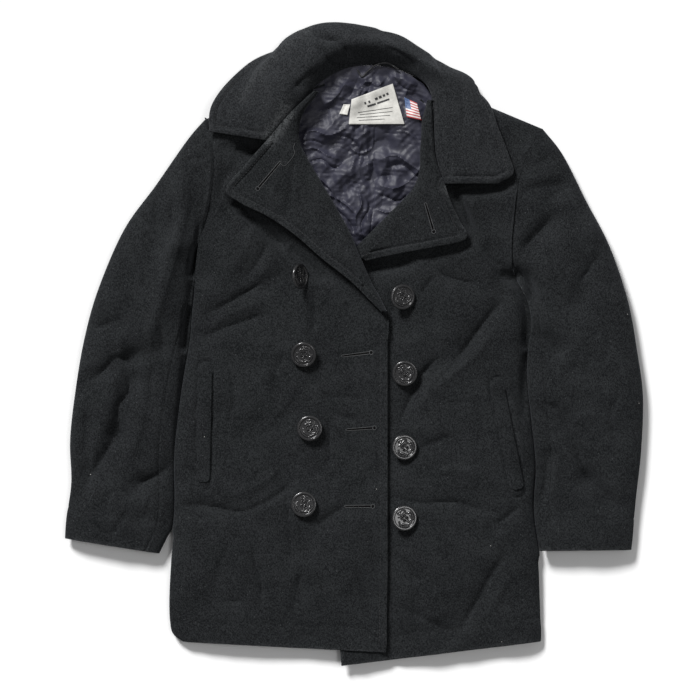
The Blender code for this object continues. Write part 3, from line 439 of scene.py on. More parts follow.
# Path of the rope round the anchor
BUTTON_ROPE = (
    (1.4, 9.4), (5.0, 9.4), (7.4, 6.6), (5.8, 3.0), (7.4, 0.4), (10.2, -1.0), (10.0, -5.0), (6.4, -8.8),
    (2.2, -7.2), (-2.0, -8.8), (-5.4, -9.8), (-9.0, -6.6), (-10.4, -2.0), (-7.8, 2.2),
)
STRAIGHT_LIFT = 0.3    # a button that is lifted less stands on a straight stem
STRAND_RADIUS = 0.34   # of its thread, and of the stem
STEM_RADIUS = 1.1
# Places of the buttons: x, y, tilt about y, turn about z, lift
BUTTONS = (
    (-69, 85, 62, 8, 10.4),
    (-62, -11, 0, 0, 0.3),
    (-54.5, -104, 0, 20, 0),
    (-62, -199, 0, -6, 0),
    (60.5, 60.5, 27, 22, 4.6),
    (64, -35, 0, 52, 0),
    (63, -127.5, 14, 40, 2.0),
    (63, -216, 13, 50, 1.8),
)

# Pocket welts: top x, y, bottom x, y
POCKET_WIDTH = 17.0
POCKET_CORNER = 6.0
POCKETS = {
    "wearers_right": ((-184.5, -30), (-188, -171)),
    "wearers_left": ((179.5, -50), (205.5, -180)),
}

# Labels on the lining: corners in plan, lowest left first, counter-clockwise
LABEL_THICKNESS = 0.6
LABEL_LIFT = 1.2
LABELS = {
    "label": (((-6.0, 276), (63.5, 276.5)), ((-2.5, 307), (49.0, 327))),
    "size_tag": (((-18, 289), (-7.5, 287.5)), ((-12.5, 301), (-4, 301))),
    "flag_tag": (((66.5, 285), (85, 281)), ((63.5, 310), (79.5, 302.5))),
}
# Rules and dashes on the label: width, then both ends as shares of its width and height
LABEL_RULES = (
    (2.8, (0.30, 0.70), (0.34, 0.71)),
    (2.8, (0.39, 0.715), (0.43, 0.72)),
    (2.8, (0.54, 0.745), (0.60, 0.76)),
    (2.8, (0.63, 0.765), (0.69, 0.775)),
    (2.8, (0.72, 0.78), (0.77, 0.79)),
    (2.8, (0.80, 0.795), (0.85, 0.805)),
    (2.2, (0.36, 0.585), (0.54, 0.61)),
    (2.2, (0.57, 0.615), (0.84, 0.655)),
    (0.6, (0.16, 0.43), (0.86, 0.43)),
    (0.6, (0.20, 0.34), (0.84, 0.33)),
    (0.6, (0.14, 0.24), (0.78, 0.235)),
    (0.6, (0.18, 0.14), (0.66, 0.14)),
)

HANGER_LOOP = ((4.5, 345), (10.5, 336), (18, 342.5), (28, 350), (42, 352.5), (57, 344))
HANGER_RADIUS = 1.0
HANGER_EVENING = 13    # points of the cord over which its height is evened out
LOOSE_THREAD = ((-92, 227), (-86, 223.5), (-77, 233), (-73.5, 240), (-75, 246), (-73, 252))
# Columns of a pocket welt, in shares of half its width
WELT_OFFSETS = (-1.0, -0.975, -0.93, -0.86, -0.76, -0.64, -0.5, -0.34, -0.17, 0.0,
                0.17, 0.34, 0.5, 0.64, 0.76, 0.86, 0.93, 0.975, 1.0)
# Places where the nap is rubbed, the crest of the collar and the lining's middle seam
RUBBED = {
    "wearers_right": ((-104, 254), (-94, 268), (-80, 286)),
    "wearers_left": ((122, 190), (118, 196)),
    "collar": ((-106, 262), (-92, 282), (-84, 296)),
}
COLLAR_CREST = ((-58, 393), (-80, 377), (-105, 354), (-121, 334), (-138, 308))
LINING_SEAM_DEPTH = 1.1
LINING_SEAM_WIDTH = 0.8
LINING_SEAM = ((27, 275), (25, 230), (26, 190), (22, 150), (18, 120))

# Creases of the fronts, sharper than their folds: height, half width, then the points of the path
CREASES = (
    (-2.4, 12.0, (-178, 248), (-142, 240), (-108, 236)),
    (2.6, 9.0, (150, 128), (166, 104), (178, 76)),
    (-1.7, 2.6, (-107, 126), (-120.5, 101), (-134.5, 85)),
    (-1.9, 2.6, (-110.5, 80), (-139.5, 62.5), (-178, 41)),
    (0.8, 7.0, (-104, 100), (-128, 79), (-160, 63)),
    (-1.8, 2.6, (-105.5, 39), (-154.5, 24), (-193, 7.5)),
    (0.7, 8.0, (-110, 56), (-150, 41), (-182, 24)),
    (1.5, 4.5, (-62, 75), (-60.5, 45), (-60.5, 14)),
    (-2.2, 3.0, (-50, 73), (-48.5, 42), (-50, 12)),
    (-2.4, 3.2, (-41, -48.5), (-29, -75), (-18, -88), (4, -95)),
    (-1.8, 2.6, (-29.5, -88), (-30.5, -125), (-32, -160)),
    (1.4, 7.0, (-74.5, -31), (-75, -55), (-90, -80), (-116, -105), (-136, -113)),
    (-1.7, 6.0, (-86, -8), (-98, -40), (-93, -66)),
    (-2.6, 3.6, (-70, -165), (-98, -190), (-138, -208), (-176, -202), (-217, -198)),
    (1.3, 6.0, (-90, -150), (-112, -171), (-150, -188)),
    (-2.3, 3.4, (-95, -153), (-84, -186), (-79.5, -233), (-80, -274)),
    (-2.6, 2.8, (-128, -252), (-122, -275), (-115.5, -297), (-114, -325)),
    (1.2, 5.0, (-116, -250), (-109, -280), (-104, -302)),
    (-1.5, 3.6, (-154, -247), (-166, -272), (-173.5, -301)),
    (-1.3, 2.6, (-164, -320.5), (-139, -320.5)),
    (-1.7, 3.6, (-61.5, -276), (-70, -305), (-74, -335)),
    (-2.0, 3.0, (-45, -226), (-27, -211), (-8, -201)),
    (-1.4, 2.6, (-28, -134), (-26, -168), (-32, -200)),
    (-1.4, 3.0, (-214, -152), (-196, -160), (-186, -148)),
    (-1.2, 3.0, (-212, -207), (-196, -216), (-180, -214)),
    (1.2, 4.0, (-206, -95), (-210, -130), (-206, -160)),
    (-1.4, 3.2, (-152, -31), (-150, -70), (-154, -100)),
    (-1.1, 4.0, (-10, -240), (8, -275), (18, -320)),
    (-1.2, 3.0, (26, -205), (24, -245), (30, -290)),
    (1.0, 7.0, (-20, -262), (0, -285), (10, -330)),
    (-1.2, 3.0, (-38, -8), (-14, -14), (16, -10)),
    (-1.1, 3.0, (-40, -62), (-8, -66), (22, -64)),
    (-3.4, 3.4, (186, 57), (158, 22), (139, -5), (120, -30)),
    (-3.2, 3.2, (107, -14), (87, -35), (75, -55), (66, -80), (57, -101)),
    (2.2, 6.0, (176, 20), (150, -14), (122, -38), (98, -58)),
    (1.6, 5.0, (122, -25), (104, -38), (92, -60), (80, -84)),
    (-2.0, 3.0, (97, 100), (112, 88), (134, 80), (160, 75)),
    (-2.2, 3.0, (82, 60), (92, 74), (100, 86)),
    (-2.0, 3.4, (134, 184), (142, 160), (152, 130), (176, 104), (194, 98)),
    (1.6, 5.0, (146, 180), (156, 150), (170, 122)),
    (-1.8, 2.8, (79.5, -131), (100, -122), (119, -115), (121, -122)),
    (-2.2, 3.2, (50, -191), (84, -198), (124, -196), (160, -206), (182, -210)),
    (-1.8, 3.0, (168, -174), (178, -186), (186, -196)),
    (-2.0, 3.0, (175, -226), (190, -216), (208, -201)),
    (1.3, 5.0, (150, -214), (176, -240), (196, -232)),
    (-2.6, 3.4, (193, -258), (174, -284), (156, -317), (134, -357)),
    (1.5, 7.0, (200, -280), (184, -308), (168, -340)),
    (-2.2, 3.2, (52, -260), (70, -280), (83, -297)),
    (1.3, 6.0, (50, -276), (66, -300), (72, -324)),
    (-1.9, 3.2, (52, -324), (84, -340), (124, -360)),
    (-1.1, 3.6, (138, -284), (136, -318)),
    (-1.3, 3.0, (150, -60), (160, -92), (158, -120)),
    (-1.1, 3.2, (104, -240), (128, -262), (136, -288)),
    (1.1, 5.0, (96, -160), (130, -156), (160, -168)),
    (-1.2, 3.0, (96, -60), (120, -72), (148, -70)),
    (-1.4, 3.2, (196, -30), (206, -70), (214, -110)),
    (1.0, 5.0, (212, -230), (222, -262), (224, -300)),
)
# Hollows of the fronts by the lapels, the collar's leaves and a sleeve: depth, radius, then their points
HOLLOWS = (
    (14.0, 9.0, (-144, 252), (-129, 243), (-117, 235)),
    (14.0, 8.0, (-151, 179), (-138, 166), (-118, 149)),
    (6.0, 14.0, (-168, 170), (-150, 158), (-128, 138)),
    (12.0, 8.0, (-128, 158), (-110, 142), (-84, 122)),
    (6.0, 6.0, (-90, 128), (-58, 102), (-36, 80)),
    (9.0, 6.0, (121, 195), (137, 170), (148, 140)),
    (9.0, 9.0, (2, 94), (34, 97), (72, 105)),
    (2.0, 5.0, (66, 108), (96, 114), (134, 121)),
    (14.0, 9.0, (108, 200), (150, 197), (192, 204)),
    (12.0, 9.0, (184, 88), (200, 84), (213, 75), (221, 60), (227, 42)),
    (13.0, 7.0, (206, 80), (215, 58), (219, 28), (217, -6)),
    (5.0, 7.0, (222, 38), (220, 8)),
    (6.0, 5.0, (217, -2), (213, -40), (214, -90)),
)
# Hollows of the sleeves by the body
SLEEVE_HOLLOWS = (
    (5.0, 3.0, (-193, 150), (-197, 122), (-200, 96)),
    (15.0, 4.6, (-196, 124), (-199, 106), (-203, 86)),
    (5.0, 3.0, (-203, 80), (-206, 46)),
    (15.0, 5.0, (-206, 48), (-209, 22), (-211, -6)),
    (5.0, 3.5, (-212, -12), (-215, -60), (-221, -130)),
    (14.0, 8.0, (200, 94), (212, 84), (220, 72), (225, 54)),
)
# Creases of the sleeves
SLEEVE_CREASES = (
    (2.6, 8.0, (-205, 244), (-215, 226), (-214, 168), (-220, 141), (-234, 103), (-243, 58), (-252, 16),
     (-256, -30)),
    (-2.0, 9.0, (-199, 124), (-208, 60), (-213, 10), (-218, -40), (-222, -120)),
    (-4.0, 10.0, (218, 96), (224, 60), (223, 30), (226, -20)),
    (-2.0, 3.0, (-215, 229), (-198, 233), (-183, 235)),
    (-2.0, 3.4, (-247, 182), (-248, 165), (-244, 148)),
    (-2.4, 3.4, (-325, 19), (-310, 26), (-294, 30)),
    (-2.6, 3.4, (-330, -46), (-312, -32), (-297, -16), (-272, -22)),
    (-3.2, 3.6, (-279, -44), (-282, -62), (-294, -76), (-293, -105)),
    (-2.8, 3.6, (-296, -110), (-312, -138), (-336, -177)),
    (-1.8, 3.4, (-335, -70), (-334, -115), (-337, -140)),
    (-3.0, 3.2, (-226, -150), (-246, -163), (-270, -174)),
    (-1.8, 3.2, (-280, -206), (-292, -222), (-302, -240)),
    (-1.5, 3.0, (-252, -185), (-256, -205), (-262, -222)),
    (-1.6, 3.0, (-300, -180), (-310, -196), (-306, -214)),
    (1.6, 5.0, (-215, 222), (-206, 190), (-214, 140), (-232, 78), (-248, 20)),
    (-1.8, 3.4, (-238, 205), (-226, 178), (-230, 138)),
    (-1.7, 3.2, (-278, 120), (-262, 96), (-262, 66)),
    (-1.6, 3.0, (-300, 84), (-284, 64), (-276, 36)),
    (1.5, 5.0, (-308, 50), (-290, 8), (-296, -30)),
    (1.4, 5.0, (-262, -70), (-268, -110), (-282, -150)),
    (-1.5, 3.0, (-246, -20), (-254, -52), (-246, -84)),
    (1.3, 4.0, (-322, -120), (-326, -155), (-322, -190)),
    (-1.6, 3.4, (-250, 46), (-238, 12), (-240, -20)),
    (-2.4, 3.2, (206, 191), (236, 199), (268, 202)),
    (-2.6, 3.4, (212, 122), (228, 138), (248, 158)),
    (-1.8, 3.0, (232, 226), (244, 234), (250, 240)),
    (-1.8, 3.0, (240, 180), (252, 188), (262, 194)),
    (2.2, 6.0, (296, 152), (300, 132), (298, 112)),
    (-2.2, 3.4, (284, 78), (294, 94), (306, 110)),
    (-1.9, 3.2, (236, 16), (248, 2), (258, -11)),
    (-1.6, 3.0, (272, -24), (284, -32), (292, -38)),
    (-2.5, 3.6, (228, -72), (256, -80), (276, -120), (292, -164), (334, -202)),
    (1.7, 6.0, (250, -92), (268, -130), (282, -168), (308, -196)),
    (-2.6, 3.6, (243, -137), (240, -168), (233, -202)),
    (1.6, 5.0, (256, -120), (254, -160), (246, -196)),
    (-1.6, 3.2, (312, 40), (318, 6), (312, -30)),
    (-1.5, 3.2, (330, -60), (322, -96), (330, -130)),
    (1.4, 5.0, (276, 20), (286, -10), (284, -50)),
    (-1.4, 3.0, (250, 90), (262, 64), (260, 36)),
    (-1.4, 3.0, (300, -210), (306, -228), (302, -244)),
    (-1.3, 3.0, (268, -200), (262, -222), (266, -240)),
)
# Creases of the collar and lapels
COLLAR_CREASES = (
    (-4.6, 3.4, (-52, 390), (-34, 383), (-19, 380), (-2, 355)),
    (-3.6, 3.2, (-44, 376), (-28, 352), (-10, 348)),
    (2.4, 7.0, (-62, 392), (-82, 376), (-106, 354), (-122, 334), (-138, 310)),
    (-2.0, 6.0, (-40, 346), (-62, 330), (-80, 310)),
    (-2.2, 5.0, (40, 372), (62, 360), (80, 344)),
    (-1.8, 4.0, (-97, 350), (-80, 330), (-62, 318)),
    (-1.5, 4.0, (-150, 318), (-128, 296), (-118, 272)),
    (1.2, 6.0, (-120, 345), (-104, 320), (-98, 290)),
    (-1.4, 4.0, (98, 366), (110, 345), (112, 318)),
    (-1.6, 4.0, (130, 330), (138, 296), (136, 262)),
    (1.2, 6.0, (152, 300), (158, 270), (154, 244)),
    (-1.3, 4.0, (112, 248), (120, 228), (118, 208)),
    (-1.2, 4.0, (30, 398), (46, 386), (60, 372)),
    (1.0, 6.0, (-6, 398), (14, 390), (36, 380)),
)
LAPEL_CREASES = (
    (-2.2, 3.2, (-72, 236), (-77, 212), (-82, 172), (-88, 158)),
    (1.2, 6.0, (-92, 232), (-96, 206), (-104, 180)),
    (-1.1, 4.0, (-60, 190), (-44, 164), (-30, 138)),
    (-1.0, 4.0, (88, 192), (98, 170), (92, 146)),
    (1.0, 6.0, (62, 166), (84, 158), (104, 146)),
    (-0.9, 4.0, (-14, 110), (0, 90), (14, 70)),
)
# Creases of the lining
LINING_CREASES = (
    (-9.0, 10.0, (66, 315), (82, 309), (94, 296), (98, 280)),
    (7.0, 8.0, (44, 337), (62, 333), (80, 325)),
    (-4.0, 7.0, (-56, 302), (-70, 284), (-80, 262)),
    (3.6, 2.6, (-66, 243), (-48, 246), (-30, 236), (-14, 232)),
    (-3.4, 2.4, (-58, 228), (-40, 232), (-26, 222), (-12, 226)),
    (3.2, 2.6, (-72, 262), (-50, 268), (-30, 262), (-8, 272)),
    (-3.0, 2.4, (-70, 252), (-52, 256), (-36, 250)),
    (3.0, 2.4, (-56, 210), (-40, 206), (-26, 190), (-18, 176)),
    (-3.4, 2.4, (-46, 202), (-34, 198), (-20, 182), (-12, 170)),
    (3.2, 2.4, (-44, 184), (-28, 186), (-10, 176), (4, 162)),
    (-2.8, 2.2, (-34, 170), (-18, 166), (-4, 152), (2, 138)),
    (2.8, 2.4, (34, 232), (52, 238), (70, 226), (90, 214)),
    (-3.0, 2.4, (40, 222), (60, 226), (78, 212), (94, 204)),
    (2.8, 2.4, (30, 200), (52, 196), (70, 206), (92, 230)),
    (-2.6, 2.2, (36, 188), (56, 180), (70, 190)),
    (2.6, 2.2, (28, 170), (44, 166), (58, 176)),
    (-2.6, 2.2, (14, 190), (20, 172), (10, 152), (14, 130)),
    (2.6, 2.2, (6, 196), (10, 176), (2, 158), (6, 140)),
    (2.4, 2.2, (-38, 300), (-24, 308), (-14, 322), (-8, 332)),
    (-2.6, 2.2, (-46, 292), (-30, 298), (-20, 312)),
    (2.4, 2.2, (4, 320), (18, 330), (30, 324), (40, 334)),
    (-2.4, 2.0, (50, 334), (62, 322), (74, 318)),
    (2.4, 2.2, (62, 268), (76, 260), (88, 244)),
    (-2.4, 2.2, (-20, 262), (-4, 258), (8, 244), (6, 226)),
    (2.2, 2.2, (-8, 252), (6, 240), (22, 246), (26, 262)),
)
# Threads of the buttonholes on the fronts and the lapels: eye x, y, other end x, y
BUTTONHOLES = {
    "wearers_right": (
        ((22, -9.5), (-15.5, -14)),
        ((26, -103.5), (-9.5, -106)),
        ((24, -201.5), (-11.5, -201.5)),
    ),
    "lapel_wearers_right": ((-119.5, 195), (-90.5, 229)),
    "lapel_wearers_left": ((100, 141.5), (89.5, 177.5)),
}
EYE_RADIUS = 2.5       # of a buttonhole's thread round its eye

# Specks in the wool: cells to the metre, radius in cells, rarity
LINT_SPECKS = (70, 0.034, 0.965)
LINT_COLOUR = (0.42, 0.41, 0.39)
HAIR_SPECKS = (340, 0.16, 0.91)
WEAVE_PITCH = 2100     # threads of woven tape to the metre
FLAG_STRIPES = 13

# Floor, lights and camera, in metres. A light: name, azimuth, elevation, spread, strength
FLOOR_REACH = 6.0
FLOOR_DROP = 0.0006    # the floor is this much below the coat
LIGHTS = (("key", 120, 37, 16, 4.5), ("fill", 8, 72, 16, 0.40))
LIGHT_DISTANCE = 4
WORLD_STRENGTH = 0.24
CAMERA_HEIGHT = 8.0
CAMERA_REACH = 100
CAMERA_PLACE = (-0.0044, -0.00625, CAMERA_HEIGHT)
COAT_HEIGHT = 0.015    # middle height of what is seen
PICTURE_WIDTH = 0.875  # width of the photo's frame at that height
SENSOR_WIDTH = 36.0

# Each half of the coat, as the two differ in how they lie. layer: how much lower the front lies under the
# other one. away: which way its sleeve lies in x. gap_end: where the sleeve stops lying beside the body.
# fullness, inner_fullness: exponents of the rounding at the side and at the sleeve's inner fold. inner_rise:
# how much higher that fold lies
SIDES = (
    {
        "name": "wearers_right",
        "outline": FRONT_WEARERS_RIGHT,
        "armhole": ARMHOLE_WEARERS_RIGHT,
        "roll": ROLL_WEARERS_RIGHT,
        "sleeve": SLEEVE_WEARERS_RIGHT,
        "lapel": LAPEL_WEARERS_RIGHT,
        "strip": FACING_WEARERS_RIGHT,
        "pocket": POCKETS["wearers_right"],
        "neck": (-38, 326),
        "tip": (-185.5, 282.5),
        "neck_line": ((-185.5, 282.5), (-112, 304.5), (-38, 326), (-13, 340), (26, 347.5)),
        "centre_hem": (1.5, -375),
        "break_y": 40,
        "layer": 0.0,
        "own_folds": ((10.5, 96, 12, 96, 32, 4.0),),
        "away": -1,
        "gap_end": -228,
        "fullness": 3.2,
        "inner_fullness": 2.6,
        "inner_rise": 0.0,
    },
    {
        "name": "wearers_left",
        "outline": FRONT_WEARERS_LEFT,
        "armhole": ARMHOLE_WEARERS_LEFT,
        "roll": ROLL_WEARERS_LEFT,
        "sleeve": SLEEVE_WEARERS_LEFT,
        "lapel": LAPEL_WEARERS_LEFT,
        "strip": FACING_WEARERS_LEFT,
        "pocket": POCKETS["wearers_left"],
        "neck": (90.5, 331),
        "tip": (237, 270),
        "neck_line": ((237, 270), (164, 300.5), (90.5, 331), (69.5, 337.5), (26.5, 347.5)),
        "centre_hem": (2, -375),
        "break_y": 104,
        "layer": CLOTH + OVERLAP_GAP,
        "own_folds": ((-2, 111, -0.5, 111, 24, -8.0), (36, 36, 12, 72, 14, -4.0)),
        "away": 1,
        "gap_end": -300,
        "fullness": 1.9,
        "inner_fullness": 3.0,
        "inner_rise": 9.0,
    },
)


def smooth(at, low, high):
    """0 below low, 1 above high, and an even S between them."""
    share = np.clip((np.asarray(at, float) - low) / (high - low), 0, 1)
    return share * share * (3 - 2 * share)


def bell(distance, width):
    """1 at no distance, falling away on both sides over a width."""
    return np.exp(-(distance / width) ** 2)


def curve(table, at):
    """The columns after the first of a table, read smoothly at values of its first column."""
    table = np.asarray(sorted(table), float)
    keys, rows = table[:, 0], table[:, 1:]
    at = np.atleast_1d(np.asarray(at, float))
    slopes = np.gradient(rows, keys, axis=0)
    i = np.clip(np.searchsorted(keys, at, side="right") - 1, 0, len(keys) - 2)
    step = (keys[i + 1] - keys[i])[:, None]
    s = (at[:, None] - keys[i][:, None]) / step
    before, after = 1 - 3 * s**2 + 2 * s**3, 3 * s**2 - 2 * s**3
    leave, arrive = s - 2 * s**2 + s**3, s**3 - s**2
    return before * rows[i] + after * rows[i + 1] + step * (leave * slopes[i] + arrive * slopes[i + 1])


def numbered(rows):
    """A table with its row numbers as the first column."""
    return [(float(n), *row) for n, row in enumerate(rows)]


def traced(rows, count):
    """A table's rows read smoothly at a number of even steps."""
    return curve(numbered(rows), np.linspace(0, len(rows) - 1, count))


def lengths_along(path):
    """Distance along a path of each of its points."""
    return np.concatenate([[0], np.cumsum(np.linalg.norm(np.diff(path, axis=0), axis=1))])


def rounding(distance, span, fullness=ROUNDNESS):
    """Share of its full height that bent cloth has at a distance from its fold."""
    left = 1 - np.clip(np.asarray(distance, float) / span, 0, 1)
    return (1 - left**fullness) ** (1 / fullness)


def beside(x, y, start, end):
    """Share of a straight run at which it is nearest to points in plan, and their offsets from that place."""
    (x0, y0), (x1, y1) = start, end
    dx, dy = x1 - x0, y1 - y0
    along = np.clip(((x - x0) * dx + (y - y0) * dy) / (dx * dx + dy * dy), 0, 1)
    return along, x - x0 - along * dx, y - y0 - along * dy


def fold_height(folds, x, y):
    """Sum of a table's folds at points in plan."""
    total = np.zeros(np.shape(x))
    for x0, y0, x1, y1, half_width, height in folds:
        _, dx, dy = beside(x, y, (x0, y0), (x1, y1))
        total = total + height * np.exp(-(dx**2 + dy**2) / (2 * half_width**2))
    return total


def shoulder_distance(x, y, side):
    """Distance in plan from the shoulder line, which runs from the neck point to the shoulder tip."""
    (x0, y0), (x1, y1) = side["neck"], side["tip"]
    length = math.hypot(x1 - x0, y1 - y0)
    return np.abs((x1 - x0) * (y - y0) - (y1 - y0) * (x - x0)) / length


def chest_height(x, y, side):
    """Height of a front's outer face at points in plan, away from its side fold."""
    crown = HEM_CROWN + (CROWN - HEM_CROWN) * smooth(y, HEM_Y, HEM_Y + HEM_RISE)
    crown = crown + fold_height(FOLDS + side["own_folds"], x, y)
    crown = crown - side["layer"] * (1 - smooth(x, OVERLAP_END, OVERLAP_END + OVERLAP_FADE))
    rise = rounding(shoulder_distance(x, y, side), SHOULDER_ROLL)
    above = smooth(y, SHOULDER_START, SHOULDER_START + SHOULDER_ROLL)
    return SIDE_FOLD + (crown - SIDE_FOLD) * (1 - above * (1 - rise))


def unit(vectors):
    """Vectors scaled to length 1."""
    return vectors / np.maximum(np.linalg.norm(vectors, axis=-1, keepdims=True), 1e-6)


def square_to_seam(normals, points, kind):
    """Turns the normals of a grid's edge into its seam, so that both pieces end in the same plane."""
    if kind == "level":
        return unit(normals * (1, 1, 0))
    tangent = np.gradient(points, axis=0) * (1, 1, 0)
    for n in np.flatnonzero(np.linalg.norm(tangent, axis=1) < 0.01):
        tangent[n] = tangent[n - 1]
    across = np.cross(unit(tangent), (0, 0, 1))
    return unit(normals - np.sum(normals * across, axis=1, keepdims=True) * across)


def stations(length, step):
    """Distances over a length at an even step, closer together near both ends."""
    even = np.linspace(0, length, max(3, int(round(length / step)) + 1))
    even = even[(even > EDGE_STEPS[-1] * 1.3) & (even < length - EDGE_STEPS[-1] * 1.3)]
    ends = np.asarray(EDGE_STEPS)
    return np.concatenate([ends, even, length - ends[::-1]]) / length


def respaced(rows, at, shares):
    """Rows of a table of points read at shares of the path of the two columns that start at a given one."""
    path = lengths_along(rows[:, at:at + 2])
    return np.stack([np.interp(shares * path[-1], path, rows[:, n]) for n in range(rows.shape[1])], 1)


def lattice_at(x, y, size, turn, seed, count):
    """Random values at the corners of each point's cell of a turned lattice, and its place in that cell."""
    values = np.random.default_rng(seed).uniform(-1, 1, (count, count))
    u = (x * math.cos(turn) + y * math.sin(turn)) / size + count / 2 + 0.3
    v = (y * math.cos(turn) - x * math.sin(turn)) / size + count / 2 + 0.7
    i, j = np.floor(u).astype(int), np.floor(v).astype(int)
    s, t = u - i, v - j
    i, j = i % (count - 1), j % (count - 1)
    return (values[i, j], values[i + 1, j], values[i + 1, j + 1], values[i, j + 1]), s, t


def undulation(x, y, wavelength, seed):
    """Smooth uneven waves in plan, between about -1 and 1."""
    (a, b, c, d), s, t = lattice_at(x, y, wavelength, 0.6 + seed * 0.7, seed, 96)
    s, t = (at**3 * (at * (6 * at - 15) + 10) for at in (s, t))
    return (a * (1 - s) + b * s) * (1 - t) + (d * (1 - s) + c * s) * t


def waves(x, y, table):
    """Sum of a table's waves: height, wavelength, seed."""
    return sum(height * undulation(x, y, wavelength, seed) for height, wavelength, seed in table)


def ridges(x, y, height, wavelength, seed):
    """Waves with sharp ridges, as in creased cloth."""
    return height * (0.5 - 2 * np.abs(undulation(x, y, wavelength, seed)))


def facets(x, y, size, seed):
    """Flat facets between sharp creases, as in crumpled satin, between -1 and 1."""
    warped = [at + 0.38 * size * undulation(x, y, 1.9 * size, seed + n) for n, at in ((1, x), (2, y))]
    (a, b, c, d), s, t = lattice_at(*warped, size, 0.4 + seed * 0.9, seed, 128)
    return np.where(s > t, a + s * (b - a) + t * (c - b), a + t * (d - a) + s * (c - d))


def pleats(x, y, length, turn, seed):
    """Sharp ridges and valleys about across one direction, which come and go, between -1 and 1."""
    u = (x * math.cos(turn) + y * math.sin(turn)) / length + 0.4 * undulation(x, y, 2.6 * length, seed)
    strength = np.clip(0.45 + 1.1 * undulation(x, y, 1.7 * length, seed + 1), 0, 1)
    return (4 * np.abs(u - np.floor(u) - 0.5) - 1) * strength


def line_distance(x, y, path):
    """Distance in plan from a path of points, and the share of the path at which it is nearest."""
    path = np.asarray(path, float)
    before = lengths_along(path)
    best, share = np.full(np.shape(x), 1e9), np.zeros(np.shape(x))
    for n in range(len(path) - 1):
        along, dx, dy = beside(x, y, path[n], path[n + 1])
        away = np.hypot(dx, dy)
        closer = away < best
        best = np.where(closer, away, best)
        share = np.where(closer, (before[n] + along * (before[n + 1] - before[n])) / before[-1], share)
    return best, share


def crease_height(creases, x, y):
    """Sum of a table's sharp creases, which fade out at their ends."""
    total = np.zeros(np.shape(x))
    for height, half_width, *path in creases:
        width = CREASE_WIDTH * half_width
        blunt = CREASE_BLUNTNESS * width
        away, share = line_distance(x, y, traced(path, 4 * len(path) - 3))
        ends = np.clip(4.5 * np.minimum(share, 1 - share), 0, 1) ** 0.7
        total = total + height * ends * np.exp(-(np.hypot(away, blunt) - blunt) / (CREASE_FLANK * width))
    return total


def sunk(points, lowest, hollows):
    """A grid let down into a table's hollows, and not below a height."""
    x, y, z = points[..., 0], points[..., 1], points[..., 2]
    depth = np.zeros(z.shape)
    for amount, radius, *path in hollows:
        away, share = line_distance(x, y, traced(path, 24))
        ends = np.clip(5 * np.minimum(share, 1 - share), 0, 1) ** 0.5
        depth = np.maximum(depth, amount * bell(away, radius) * (0.35 + 0.65 * ends))
    return np.dstack([x, y, np.maximum(z - depth, np.minimum(z, lowest))])


def polygon_depth(x, y, outline):
    """Signed distance in plan inside a closed outline."""
    outline = np.asarray(outline, float)
    away, _ = line_distance(x, y, np.vstack([outline, outline[:1]]))
    inside = np.zeros(np.shape(x), bool)
    for (x0, y0), (x1, y1) in zip(outline, np.roll(outline, -1, axis=0)):
        if y0 == y1:
            continue
        crossing = (y0 > y) != (y1 > y)
        inside ^= crossing & (x < (x1 - x0) * (y - y0) / (y1 - y0) + x0)
    return np.where(inside, away, -away)


def cumulative(points, axis):
    """Distance of each point of a grid from the first one along an axis."""
    steps = np.linalg.norm(np.diff(points, axis=axis), axis=2)
    start = np.zeros((len(points), 1)) if axis == 1 else np.zeros((1, points.shape[1]))
    return np.concatenate([start, np.cumsum(steps, axis=axis)], axis=axis)


def edge_distances(points):
    """Distance of each point of a grid from each of its edges."""
    across, along = cumulative(points, 1), cumulative(points, 0)
    return {"start": across, "end": across[:, -1:] - across, "bottom": along, "top": along[-1:] - along}


def rim_distance(points):
    """Distance of each point of a grid from the nearest of its edges."""
    return np.min(list(edge_distances(points).values()), axis=0)


def nearest(points, path):
    """Distance of points from a path, in plan or in space, and their nearest places on it."""
    best, place = np.full(points.shape[:-1], 1e9), points
    for start, end in zip(path[:-1], path[1:]):
        step = end - start
        along = np.clip((points - start) @ step / max(step @ step, 1e-9), 0, 1)
        found = start + along[..., None] * step
        away = np.linalg.norm(points - found, axis=-1)
        place = np.where((away < best)[..., None], found, place)
        best = np.minimum(best, away)
    return best, place


def rounded(distance, radius):
    """How far a face rounds down at a distance from its edge."""
    left = radius - np.clip(distance, 0, radius)
    return radius - np.sqrt(np.maximum(radius**2 - left**2, 0))


def grid_normals(points, upward=False):
    """Normals of a grid, turned upwards where that is asked."""
    normals = unit(np.cross(np.gradient(points, axis=1), np.gradient(points, axis=0)))
    return -normals if upward and normals[..., 2].sum() < 0 else normals


def raised(points, amount):
    """A grid moved along its normals, upwards where they lie level."""
    return points + grid_normals(points, upward=True) * amount[..., None]


def groove(distance, depth, width, at=0.0):
    """Relief of a groove along an edge, or at a distance from it."""
    return -depth * bell(distance - at, width)


def edging(distance, depth=1.0, puff=1.0, line=STITCH_DISTANCE):
    """Relief of a stitched edge at a distance from it: a swollen rim and the groove of its stitching."""
    rim = puff * np.sin(np.pi * np.clip(distance / line, 0, 1))
    return rim + groove(distance, depth, STITCH_GROOVE, line)


def edge_wear(distance, most=0.35, reach=1.6):
    """Wear of a free edge at a distance from it."""
    return most * np.exp(-distance / reach)


def grid_quads(rows, columns, start, flip):
    """Quads of a grid whose first point has the given number."""
    number = start + np.arange(rows * columns).reshape(rows, columns)
    a, b = number[:-1, :-1].ravel(), number[:-1, 1:].ravel()
    c, d = number[1:, 1:].ravel(), number[1:, :-1].ravel()
    quads = np.stack([a, b, c, d], 1)
    return quads[:, ::-1] if flip else quads


